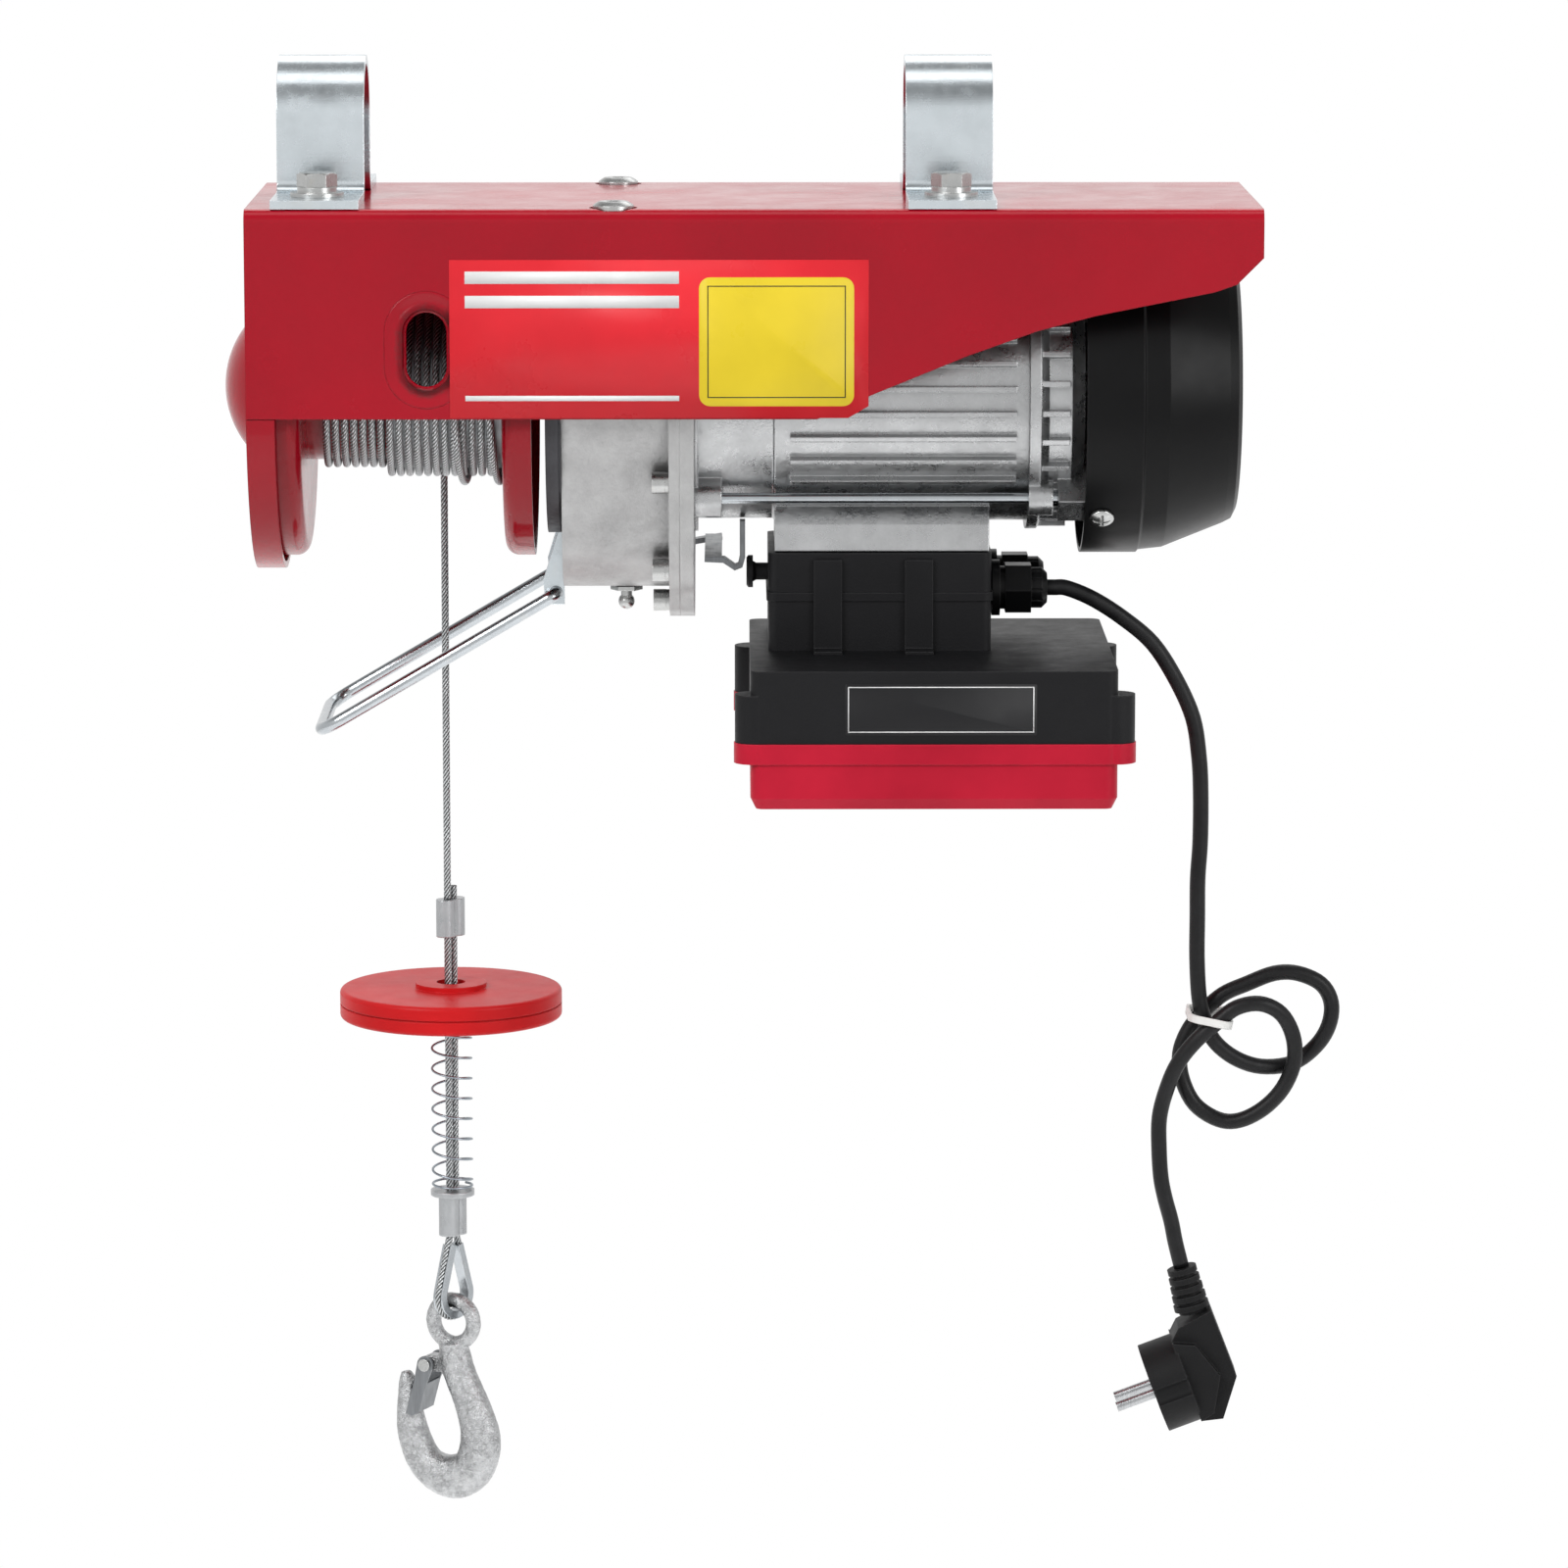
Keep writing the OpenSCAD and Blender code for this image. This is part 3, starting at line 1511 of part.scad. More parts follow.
// Strip from the bail's axle, past the far edge of the gearbox flange and back to the plunger
module trip_arm() {
    cross_x = motor_x0 + 7;
    cross_z = plunger_z + 6;
    tip_x = box_x0 - plunger_out - 0.6 - arm_t / 2;
    color("#aab0b6") {
        along_y(arm_y - arm_w / 2, arm_y + arm_w / 2)
            difference() {
                union() {
                    ribbon([[axle_x, axle_z + 2], [cross_x - 8, cross_z - 2], [cross_x + arm_w / 2, cross_z]],
                        arm_t);
                    translate([axle_x, axle_z])
                        circle(bail_r + 2.2);
                }
                translate([axle_x, axle_z])
                    circle(bail_r + fit_gap);
            }
        translate([cross_x - arm_w / 2, plunger_y - arm_w / 2, cross_z - arm_t / 2])
            cube([arm_w, arm_y - plunger_y + arm_w / 2, arm_t]);
        along_y(plunger_y - arm_w / 2, plunger_y + arm_w / 2)
            ribbon([[cross_x - arm_w / 2, cross_z], [cross_x + 5, cross_z - 0.5],
                [tip_x - 3.5, cross_z - 4], [tip_x - 1, cross_z - 3], [tip_x, cross_z + 1],
                [tip_x, cross_z + 18]], arm_t);
    }
}

// ---- Rope fall and hook block --------------------------------------------------------------

// Frame of the hook block: u runs across the two strands
module in_block(yaw = block_yaw) {
    translate([block_x, block_y, 0])
        rotate(yaw)
            children();
}

module rope_fall() {
    color("#85888a")
        translate([fall_x, fall_y, upper_top])
            cylinder(h = axis_z - rope_d - upper_top, r = rope_r);
}

// Both strands and the bow round the thimble, as one tube
bow_angle = let (d = norm([strand_off, lower_z - bow_z]))
    atan2(lower_z - bow_z, strand_off) - acos(bow_r / d);
loop_path = concat(
    [[-strand_off, upper_top], [-strand_off, disc_top], [-strand_off, lower_z]],
    [for (k = [0:18]) let (a = 180 - bow_angle + k * (180 + 2 * bow_angle) / 18)
        [bow_r * cos(a), bow_z + bow_r * sin(a)]],
    [[strand_off, lower_z], [strand_off, disc_top], [strand_off, upper_top + 6]]);
module rope_loop() {
    color("#85888a")
        in_block()
            tube([for (p = loop_path) [p[0], 0, p[1]]], rope_r, 8, [0, 1, 0]);
}

// Pressed sleeve over two strands
module sleeve(z, h, w, t) {
    difference() {
        union() {
            for (s = [-1, 1])
                translate([s * (w - t) / 2, 0, z])
                    cylinder(h = h, r = t / 2);
            translate([-(w - t) / 2, 0.6 - t / 2, z])
                cube([w - t, t - 1.2, h]);
        }
        for (s = [-1, 1])
            translate([s * strand_off, 0, z - 1])
                cylinder(h = h + 2, r = rope_r + 0.05);
    }
}

module ferrule_upper() {
    color("#a6a8aa")
        in_block()
            sleeve(upper_top - ferrule_h, ferrule_h, 16, 9);
}

// Sleeve with the flange that the spring stands on
module ferrule_lower() {
    color("#a6a8aa")
        in_block() {
            sleeve(lower_z, lower_h, 15, 10);
            difference() {
                translate([0, 0, seat_z - seat_t])
                    cylinder(h = seat_t, r = spring_d / 2 + 0.5);
                for (s = [-1, 1])
                    translate([s * strand_off, 0, seat_z - seat_t - 1])
                        cylinder(h = seat_t + 2, r = rope_r + 0.05);
            }
        }
}

// Buffer spring: closed curl, open curls, closed curl
closed_pitch = spring_wire + 0.55;
open_pitch = (spring_len - 2 * spring_wire - 2 * closed_pitch) / spring_curls;
curl_rings = 8;
function spring_drop(t) =
    t < 1 ? closed_pitch * t :
    t < 1 + spring_curls ? closed_pitch + open_pitch * (t - 1) :
    closed_pitch + open_pitch * spring_curls + closed_pitch * (t - 1 - spring_curls);
spring_path = concat(
    [[spring_r, 0, disc_bottom]],
    [for (i = [0:curl_rings * (spring_curls + 2)]) let (t = i / curl_rings)
        [spring_r * cos(360 * t), spring_r * sin(360 * t), disc_bottom - spring_wire - spring_drop(t)]],
    [[spring_r, 0, seat_z]]);
module buffer_spring() {
    color("#c9d3dd")
        in_block()
            tube(spring_path, spring_wire / 2, 6, [1, 0, 0]);
}
echo(least_gap_of_spring = least_gap(spring_path, 5) - spring_wire);

// Moulded disc with a parting groove and a raised ring round its hole
module limit_disc() {
    r = disc_d / 2;
    color("#d72323")
        in_block()
            difference() {
                union() {
                    translate([0, 0, disc_bottom])
                        rotate_extrude()
                            intersection() {
                                round_rect([-r, 0], [r, disc_t], 2);
                                square(r);
                            }
                    translate([0, 0, disc_top - 1])
                        cylinder(h = 3.5, r = 17);
                }
                translate([0, 0, disc_bottom - 1])
                    cylinder(h = disc_t + 5, r = strand_off + rope_r + 3);
                translate([0, 0, disc_bottom + disc_t / 2 - 0.4])
                    difference() {
                        cylinder(h = 0.8, r = r + 1);
                        translate([0, 0, -1])
                            cylinder(h = 3, r = r - 0.8);
                    }
            }
}

// Grooved lining of the rope's bow
module thimble_section() {
    difference() {
        translate([thimble_r, -thimble_half])
            square([bow_r - thimble_r + 0.6, 2 * thimble_half]);
        translate([bow_r, 0])
            circle(rope_r + 0.1);
        translate([bow_r, -rope_r - 0.1])
            square([4, 2 * rope_r + 0.2]);
    }
}

module thimble() {
    leg = sqrt(pow(norm([strand_off, lower_z - bow_z]), 2) - bow_r * bow_r) - 5;
    color("#b7c3cf")
        in_block()
            translate([0, 0, bow_z])
                rotate([90, 0, 0]) {
                    rotate(180 - bow_angle)
                        rotate_extrude(angle = 180 + 2 * bow_angle)
                            thimble_section();
                    for (s = [0, 1])
                        mirror([s, 0, 0])
                            rotate(bow_angle)
                                rotate([-90, 0, 0])
                                    mirror([0, 1, 0])
                                        linear_extrude(leg)
                                            thimble_section();
                }
}

// Forged hook: [v, z, width in its plane, thickness], from the neck to the tip
hook_spine = [
    [0, -10, 13, 11], [0.5, -16, 15.5, 13], [3, -25, 15.5, 14], [7.5, -35, 16, 14.5],
    [11.5, -45, 17.5, 15], [13.8, -55, 20, 15.5], [12.6, -64, 21.8, 16], [8, -71.5, 23, 16],
    [1, -76, 23, 16], [-7, -75.5, 21.5, 15.5], [-14, -71, 19.5, 15], [-19.5, -64, 17.5, 13.5],
    [-22.8, -55, 15.5, 12], [-24.2, -46, 13, 10.5], [-24.8, -38, 10.5, 9], [-25.4, -31, 8, 7.5],
    [-26.2, -27, 4.5, 5]];
hook_sides = 16;
module hook_body() {
    n = hook_sides;
    p = [for (s = hook_spine) [s[0], s[1]]];
    last = len(p) - 1;
    points = [for (i = [0:last])
        let (m = normal(p, i), w = hook_spine[i][2] / 2, t = hook_spine[i][3] / 2)
        for (k = [0:n - 1])
            let (c = cos(360 * k / n) * w)
            [p[i][0] + c * m[0], sin(360 * k / n) * t, p[i][1] + c * m[1]]];
    walls = [for (i = [0:last - 1], k = [0:n - 1])
        let (a = i * n + k, b = i * n + (k + 1) % n)
        each [[a, b, b + n], [a, b + n, a + n]]];
    start = [for (k = [1:n - 2]) [0, k + 1, k]];
    end = [for (k = [1:n - 2]) let (e = last * n) [e, e + k, e + k + 1]];
    polyhedron(points, concat(walls, start, end));
}

module hook() {
    color("#b9bbbd")
    in_block(hook_yaw)
        translate([0, 0, eye_z])
            difference() {
                union() {
                    rotate([90, 0, 0])
                        rotate_extrude()
                            translate([eye_r, 0])
                                circle(eye_r - eye_hole);
                    hook_body();
                    // Lug of the latch
                    translate([0, 4.5, 0])
                        rotate([90, 0, 0])
                            linear_extrude(9) {
                                translate(latch_pivot)
                                    circle(4);
                                translate([latch_pivot[0], latch_pivot[1] - 4])
                                    square([12, 8]);
                            }
                }
                rotate([90, 0, 0])
                    cylinder(h = 40, r = eye_hole - 0.2, center = true);
                translate([latch_pivot[0], 0, latch_pivot[1]])
                    rotate([90, 0, 0])
                        cylinder(h = 40, r = 1.8, center = true);
            }
}

module latch_pin() {
    color("#c2c4c6")
    in_block(hook_yaw)
        translate([latch_pivot[0], 0, eye_z + latch_pivot[1]])
            rotate([90, 0, 0]) {
                cylinder(h = 16.4, r = 1.77, center = true);
                for (s = [-1, 1])
                    translate([0, 0, s * 8.6])
                        cylinder(h = 1.2, r = 3, center = true);
            }
}

// Sheet channel: two cheeks beside the hook's lug and tip, and a web that stops at the tip
module latch() {
    cheek_in = 6.6;
    cheek_t = 1.2;
    reach = 27;
    lean = 15.5;
    color("#a9b0b8")
    in_block(hook_yaw)
        translate([latch_pivot[0], 0, eye_z + latch_pivot[1]])
            rotate([0, lean, 0])
                difference() {
                    union() {
                        both_sides()
                            along_y(cheek_in, cheek_in + cheek_t) {
                                circle(4.2);
                                polygon([[-4.2, 0], [4.2, 0], [3, -10], [3, -reach + 3], [0, -reach],
                                    [-3.5, -reach], [-3.5, -10]]);
                            }
                        translate([1.8, -cheek_in - 0.1, 3 - reach])
                            cube([1.2, 2 * cheek_in + 0.2, reach - 12]);
                    }
                    rotate([90, 0, 0])
                        cylinder(h = 40, r = 1.8, center = true);
                }
}

// ---- Power cord and plug -------------------------------------------------------------------

module power_cord() {
    color("#1c1c1e")
        tube(concat([[box_x1 + 24, gland_y[0], gland_z]], cord_route), cord_d / 2, 10, [0, 1, 0]);
}

// Strap round the three strands where the coil is tied, with its head and tail
tie_at = [268, -20, -420];
module cord_tie() {
    color("#f2f2f0")
    translate(tie_at)
        rotate([0, 12, 0]) {
            difference() {
                linear_extrude(3.6, center = true)
                    round_rect([-10.6, -14.5], [10.6, 14.5], 5);
                linear_extrude(5, center = true)
                    round_rect([-9.5, -13.4], [9.5, 13.4], 4);
            }
            translate([5, 14, -3])
                cube([6, 5, 6]);
        }
}

// Frame of the plug: +Z runs against the pins, -X to the cord, and the face lies at z = 0
plug_face = [243.4, -20, -599];
plug_tilt = 20.8;
face_r = 21.5;
neck = [27, 30.2];               // up and depth of the neck's end
relief_top = cord_route[len(cord_route) - 1];
relief_len = 22.1;
relief_lean = 14.6;
module in_plug() {
    translate(plug_face)
        rotate([0, 90 - plug_tilt, 0])
            children();
}

// Five rings over a tapered sleeve
module plug_relief() {
    n = 5;
    step = relief_len / n;
    color("#1c1c1e")
    translate(relief_top)
        rotate([0, 180 - relief_lean, 0])
        translate([0, 0, 0.3]) {
            cylinder(h = relief_len, r1 = 5.2, r2 = 6.6);
            for (k = [0:n - 1])
                translate([0, 0, k * step])
                    cylinder(h = step * 0.62, r = 7 + 0.35 * k);
        }
}

module plug_body() {
    rim = 17;
    color("#1c1c1e")
    in_plug()
        difference() {
            union() {
                cylinder(h = rim, r = face_r);
                // Grip: tapers from the neck to the lower edge
                along_y(-10.5, 10.5)
                    polygon([[-neck[0] + 1.5, neck[1] - 9], [-neck[0] - 1.2, neck[1] + 8.6], [6, 39], [23, 26],
                        [face_r - 1, rim - 1], [1 - face_r, rim - 1]]);
                along_y(-15, 15)
                    polygon([[1 - face_r, rim - 1], [-16, 26], [2, 32], [18, 23], [face_r - 2, rim - 1]]);
            }
            for (y = [-9.5, 9.5])
                translate([0, y, -1])
                    cylinder(h = 11, r = 2.4 + fit_gap);
            // Hole of the earth pin, and recesses of the side contacts
            translate([-8, 0, -1])
                cylinder(h = 12, r = 2.5);
            for (s = [-1, 1])
                translate([0, s * (face_r + 1.5), -1])
                    cylinder(h = 30, r = 4.5);
        }
}

module plug_pins() {
    color("#cfd2d4")
    in_plug()
        for (y = [-9.5, 9.5])
            translate([0, y, -19])
                cylinder(h = 28, r = 2.4);
}

frame_channel();
end_plate();
bearing_cap();
strap_left();
strap_right();
strap_bolts();
strap_washers();
gearbox_mount_screws();
gearbox_case();
gearbox_collar();
gearbox_cover();
case_screws();
grease_nipple();
drum_bearings();
layshaft_bearings();
motor_bearings();
motor_housing();
motor_end_shield();
stator();
tie_rods();
fan_cover();
fan_cover_screws();
switch_box_base();
switch_box_cover();
capacitor();
power_gland();
spare_gland();
receiver_clips();
receiver_cover();
receiver_base();
receiver_screws();
receiver_board();
indicator_dome();
bail_bracket();
drum();
drum_shaft();
drum_gear();
rope_core();
rope_winding();
layshaft();
rotor();
cooling_fan();
rope_fall();
rope_loop();
ferrule_upper();
ferrule_lower();
buffer_spring();
thimble();
limit_disc();
hook();
latch_pin();
latch();
limit_bail();
trip_arm();
limit_plunger();
power_cord();
cord_tie();
plug_relief();
plug_body();
plug_pins();
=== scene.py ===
"""Looks of a compact electric wire rope hoist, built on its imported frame.

Every length is in metres in the frame's own axes: +X towards the motor, +Y away from the plunger
side, +Z up, and the origin on the axis of the pipe that carries the hoist.
"""

from __future__ import annotations

import logging
import math
from collections.abc import Callable, Sequence
from dataclasses import dataclass, field
from enum import Enum
from typing import Protocol

import bmesh
import bpy
from mathutils import Matrix, Vector


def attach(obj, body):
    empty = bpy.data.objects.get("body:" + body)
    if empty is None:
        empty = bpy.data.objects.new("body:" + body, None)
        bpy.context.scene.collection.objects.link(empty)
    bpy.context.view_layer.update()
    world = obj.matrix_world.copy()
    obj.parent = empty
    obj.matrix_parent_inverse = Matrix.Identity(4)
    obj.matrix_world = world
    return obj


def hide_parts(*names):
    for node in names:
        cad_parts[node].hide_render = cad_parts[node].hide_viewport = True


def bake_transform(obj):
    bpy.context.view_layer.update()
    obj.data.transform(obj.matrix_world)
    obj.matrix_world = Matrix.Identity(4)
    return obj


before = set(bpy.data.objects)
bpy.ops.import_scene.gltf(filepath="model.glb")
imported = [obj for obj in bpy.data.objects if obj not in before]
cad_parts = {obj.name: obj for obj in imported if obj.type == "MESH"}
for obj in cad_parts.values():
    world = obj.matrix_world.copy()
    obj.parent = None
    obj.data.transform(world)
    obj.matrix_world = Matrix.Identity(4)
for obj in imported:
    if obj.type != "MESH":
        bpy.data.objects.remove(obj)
LOG = logging.getLogger("hoist")
MM = 0.001
Colour = tuple[float, float, float]
Point = tuple[float, float, float]
Flat = tuple[float, float]
Mesh = bmesh.types.BMesh
Ring = Sequence[bmesh.types.BMVert]
Fill = Callable[[Mesh], None]
Outline = Callable[[int, float], float]
Socket = bpy.types.NodeSocket
# Cosine between a face and its rounded normal, on a flat place and on a sharp edge
FLAT_FACING, EDGE_FACING = 0.995, 0.86
# Share of open sky over a place, in the open and deep in a groove, between which the painted shade in grooves grows
OPEN_SKY, DEEP_SKY = 0.72, 0.12
# Where soft clouds clamp their noise
CLOUD_LOW, CLOUD_HIGH = 0.3, 0.7
STRANDS = 6
FRAME = "frame"


def srgb(red: int, green: int, blue: int) -> Colour:
    """Gives the linear colour of three screen values.

    Args:
        red: Red from 0 to 255.
        green: Green from 0 to 255.
        blue: Blue from 0 to 255.

    Returns:
        The linear red, green and blue.
    """

    def linear(value: float) -> float:
        """Gives the linear value of one screen channel."""
        return value / 12.92 if value <= 0.04045 else ((value + 0.055) / 1.055) ** 2.4

    return linear(red / 255), linear(green / 255), linear(blue / 255)


HOIST_RED = srgb(163, 7, 30)


def tone(colour: Colour, factor: float, lift: float = 0.0) -> Colour:
    """Gives a lighter or darker version of a colour.

    Args:
        colour: The colour to start from.
        factor: What each channel is multiplied by.
        lift: What each channel is then raised by.

    Returns:
        The new colour, with no channel above one.
    """
    return tuple(min(1.0, factor * c + lift) for c in colour)


class Pattern(Enum):
    """The grain of a cast or moulded surface."""

    SAND_CAST = "sand_cast"
    PRESSURE_CAST = "pressure_cast"
    SPARK_GRAIN = "spark_grain"
    POLISHED = "polished"


class Graph:
    """Node graph of one material, with the shader's sockets within reach."""

    def __init__(self, name: str) -> None:
        """Starts a material with a principled shader and object coordinates.

        Args:
            name: Name of the material.
        """
        self.material = bpy.data.materials.new(name)
        self.material.use_nodes = True
        self.tree = self.material.node_tree
        self.tree.nodes.clear()
        self.shader = self.node("ShaderNodeBsdfPrincipled")
        self.output = self.node("ShaderNodeOutputMaterial")
        self.link(self.shader.outputs["BSDF"], self.output.inputs["Surface"])
        self.place = self.node("ShaderNodeTexCoord").outputs["Object"]

    def node(self, kind: str, **settings: object) -> bpy.types.Node:
        """Adds a node.

        Args:
            kind: Blender's type name of the node.
            **settings: Values for the node's own properties.

        Returns:
            The new node.
        """
        made = self.tree.nodes.new(kind)
        for key, value in settings.items():
            setattr(made, key, value)
        return made

    def link(self, source: Socket, target: Socket) -> None:
        """Joins an output to an input."""
        self.tree.links.new(source, target)

    def set(self, **values: object) -> None:
        """Sets the shader's own sockets; an underscore in a key stands for a space.

        Args:
            **values: Socket names and their plain values.
        """
        for key, value in values.items():
            socket = self.shader.inputs[key.replace("_", " ")]
            socket.default_value = (*value, 1.0) if isinstance(value, tuple) else value

    def stretched(self, scale: Point, turn: Point = (0.0, 0.0, 0.0)) -> Socket:
        """Gives the object coordinates, turned and then stretched.

        Args:
            scale: Factor along each axis.
            turn: Rotation about each axis, in radians.

        Returns:
            The vector output.
        """
        mapping = self.node("ShaderNodeMapping")
        mapping.inputs["Scale"].default_value = scale
        mapping.inputs["Rotation"].default_value = turn
        self.link(self.place, mapping.inputs["Vector"])
        return mapping.outputs["Vector"]

    def noise(
        self,
        scale: float,
        detail: float = 3.0,
        rough: float = 0.55,
        place: Socket | None = None,
    ) -> Socket:
        """Gives a cloud pattern around one half.

        Args:
            scale: Waves per metre.
            detail: Number of finer layers.
            rough: Strength of the finer layers.
            place: Coordinates, or the object's own when left out.

        Returns:
            The factor output.
        """
        made = self.node("ShaderNodeTexNoise")
        made.inputs["Scale"].default_value = scale
        made.inputs["Detail"].default_value = detail
        made.inputs["Roughness"].default_value = rough
        self.link(place or self.place, made.inputs["Vector"])
        return made.outputs["Fac"]

    def cells(self, scale: float, feature: str = "F1", place: Socket | None = None) -> bpy.types.Node:
        """Adds a cell pattern.

        Args:
            scale: Cells per metre.
            feature: Blender's name of the cell feature.
            place: Coordinates, or the object's own when left out.

        Returns:
            The Voronoi node.
        """
        made = self.node("ShaderNodeTexVoronoi", feature=feature)
        made.inputs["Scale"].default_value = scale
        self.link(place or self.place, made.inputs["Vector"])
        return made

    def fit(self, value: Socket, low: float, high: float, start: float = 0.0, end: float = 1.0) -> Socket:
        """Maps low..high of a value to start..end, clamped.

        Args:
            value: The value to map.
            low: Its low end.
            high: Its high end.
            start: What the low end becomes.
            end: What the high end becomes.

        Returns:
            The mapped value.
        """
        made = self.node("ShaderNodeMapRange", clamp=True)
        self.link(value, made.inputs["Value"])
        for key, number in (("From Min", low), ("From Max", high), ("To Min", start), ("To Max", end)):
            made.inputs[key].default_value = number
        return made.outputs["Result"]

    def clouds(self, scale: float, detail: float, rough: float, start: float = 0.0, end: float = 1.0) -> Socket:
        """Gives noise that is mapped to start..end, clamped at both ends.

        Args:
            scale: Waves per metre.
            detail: Number of finer layers.
            rough: Strength of the finer layers.
            start: What the low end becomes.
            end: What the high end becomes.

        Returns:
            The mapped value.
        """
        return self.fit(self.noise(scale, detail, rough), CLOUD_LOW, CLOUD_HIGH, start, end)

    def maths(self, operation: str, first: Socket, second: Socket | float) -> Socket:
        """Combines two values.

        Args:
            operation: Blender's name of the operation.
            first: The first value.
            second: The second value or a number.

        Returns:
            The result.
        """
        made = self.node("ShaderNodeMath", operation=operation)
        self.link(first, made.inputs[0])
        if isinstance(second, (int, float)):
            made.inputs[1].default_value = second
        else:
            self.link(second, made.inputs[1])
        return made.outputs["Value"]

    def mix(self, share: Socket, first: Socket | Colour, second: Socket | Colour) -> Socket:
        """Blends two colours.

        Args:
            share: Zero for the first colour and one for the second.
            first: A colour or an output.
            second: A colour or an output.

        Returns:
            The colour output.
        """
        made = self.node("ShaderNodeMix", data_type="RGBA")
        self.link(share, made.inputs["Factor"])
        for key, value in ((6, first), (7, second)):
            if isinstance(value, tuple):
                made.inputs[key].default_value = (*value, 1.0)
            else:
                self.link(value, made.inputs[key])
        return made.outputs[2]

    def sharp_edge_share(self, radius: float) -> Socket:
        """Gives a value that rises towards sharp edges.

        Args:
            radius: How far from the edge it reaches, in metres.

        Returns:
            Zero on flat places, up to one on an edge.
        """
        bevel = self.node("ShaderNodeBevel", samples=4)
        bevel.inputs["Radius"].default_value = radius
        facing = self.node("ShaderNodeVectorMath", operation="DOT_PRODUCT")
        self.link(bevel.outputs["Normal"], facing.inputs[0])
        self.link(self.node("ShaderNodeNewGeometry").outputs["Normal"], facing.inputs[1])
        return self.fit(facing.outputs["Value"], FLAT_FACING, EDGE_FACING)

    def painted_crevice_shade(self, reach: float) -> Socket:
        """Gives a value that rises in grooves and corners, where painted shade darkens the colour.

        Args:
            reach: How far off a wall still shades a place, in metres.

        Returns:
            Zero in the open, up to one deep in a groove.
        """
        # Painted shade: ambient occlusion decides how far a place is darkened
        shade_probe = self.node("ShaderNodeAmbientOcclusion", samples=16)
        shade_probe.inputs["Distance"].default_value = reach
        return self.fit(shade_probe.outputs["AO"], OPEN_SKY, DEEP_SKY)

    def relief(self, *layers: tuple[Socket, float], radius: float = 0.0) -> None:
        """Drives the shader's normal from height layers over a softened edge.

        Args:
            *layers: Pairs of a height from zero to one and its depth in metres.
            radius: Radius of the softened edges in metres, or zero for none.
        """
        normal = None
        if radius > 0.0:
            bevel = self.node("ShaderNodeBevel", samples=4)
            bevel.inputs["Radius"].default_value = radius
            normal = bevel.outputs["Normal"]
        for height, depth in layers:
            bump = self.node("ShaderNodeBump")
            bump.inputs["Strength"].default_value = 1.0
            bump.inputs["Distance"].default_value = depth
            self.link(height, bump.inputs["Height"])
            if normal is not None:
                self.link(normal, bump.inputs["Normal"])
            normal = bump.outputs["Normal"]
        if normal is not None:
            self.link(normal, self.shader.inputs["Normal"])

    def colour(self, value: Socket) -> None:
        """Joins a colour to the shader."""
        self.link(value, self.shader.inputs["Base Color"])

    def roughness(self, value: Socket) -> None:
        """Joins a roughness to the shader."""
        self.link(value, self.shader.inputs["Roughness"])


# ---- Finishes ------------------------------------------------------------------------------


class Finish(Protocol):
    """What every finish offers."""

    def build(self) -> bpy.types.Material:
        """Gives the finish as a material."""


@dataclass(frozen=True)
class PowderCoat:
    """Gloss powder coat on steel sheet, with orange peel, dull spots and chipped edges."""

    name: str
    colour: Colour
    gloss: float = 0.16

    def build(self) -> bpy.types.Material:
        """Gives the coat's material."""
        graph = Graph(self.name)
        graph.set(Metallic=0.0, Coat_Weight=0.3, Coat_Roughness=0.05, Specular_IOR_Level=0.1)
        dark = tone(self.colour, 0.88)
        light = tone(self.colour, 1.06)
        clouds = graph.mix(graph.fit(graph.noise(9.0, 4.0), 0.35, 0.65), dark, light)
        chipped = graph.maths("MULTIPLY", graph.sharp_edge_share(0.0012), graph.fit(graph.noise(160.0, 5.0, 0.7), 0.5, 0.64))
        graph.colour(graph.mix(graph.maths("MULTIPLY", chipped, 0.5), clouds, tone(self.colour, 0.45, 0.02)))
        graph.roughness(graph.fit(graph.noise(35.0, 5.0, 0.65), 0.3, 0.72, self.gloss, self.gloss + 0.14))
        graph.relief((graph.noise(420.0, 2.0, 0.4), 0.00011), (graph.noise(38.0, 2.0), 0.00025), radius=0.0009)
        return graph.material


@dataclass(frozen=True)
class ZincPlate:
    """Bright zinc plate with a bluish film, soft clouds, handling marks and fine scratches."""

    name: str
    colour: Colour = (0.60, 0.65, 0.68)
    roughness: float = 0.2
    cloud: float = 60.0
    straw_share: Colour = (1.0, 0.92, 0.82)

    def build(self) -> bpy.types.Material:
        """Gives the plate's material."""
        graph = Graph(self.name)
        graph.set(Metallic=1.0)
        film = graph.mix(graph.fit(graph.noise(self.cloud, 4.0), 0.35, 0.68), self.colour, tone(self.colour, 0.90))
        drifts = graph.noise(self.cloud * 0.6, 3.0, place=graph.stretched((1.0, 1.4, 0.8), (0.4, 0.2, 0.9)))
        straw = tuple(share * c for share, c in zip(self.straw_share, self.colour))
        tinted = graph.mix(graph.maths("MULTIPLY", graph.fit(drifts, 0.60, 0.80), 0.5), film, straw)
        graph.colour(graph.mix(graph.sharp_edge_share(0.0006), tinted, tone(self.colour, 1.35)))
        graph.roughness(
            graph.fit(graph.noise(self.cloud * 2.2, 5.0, 0.7), 0.3, 0.75, self.roughness, self.roughness + 0.12)
        )
        scratches = graph.noise(260.0, 2.0, 0.8, graph.stretched((0.12, 2.6, 2.6), (0.3, 0.5, 0.2)))
        graph.relief((scratches, 0.00003), (graph.noise(900.0, 2.0), 0.00002), radius=0.0005)
        return graph.material


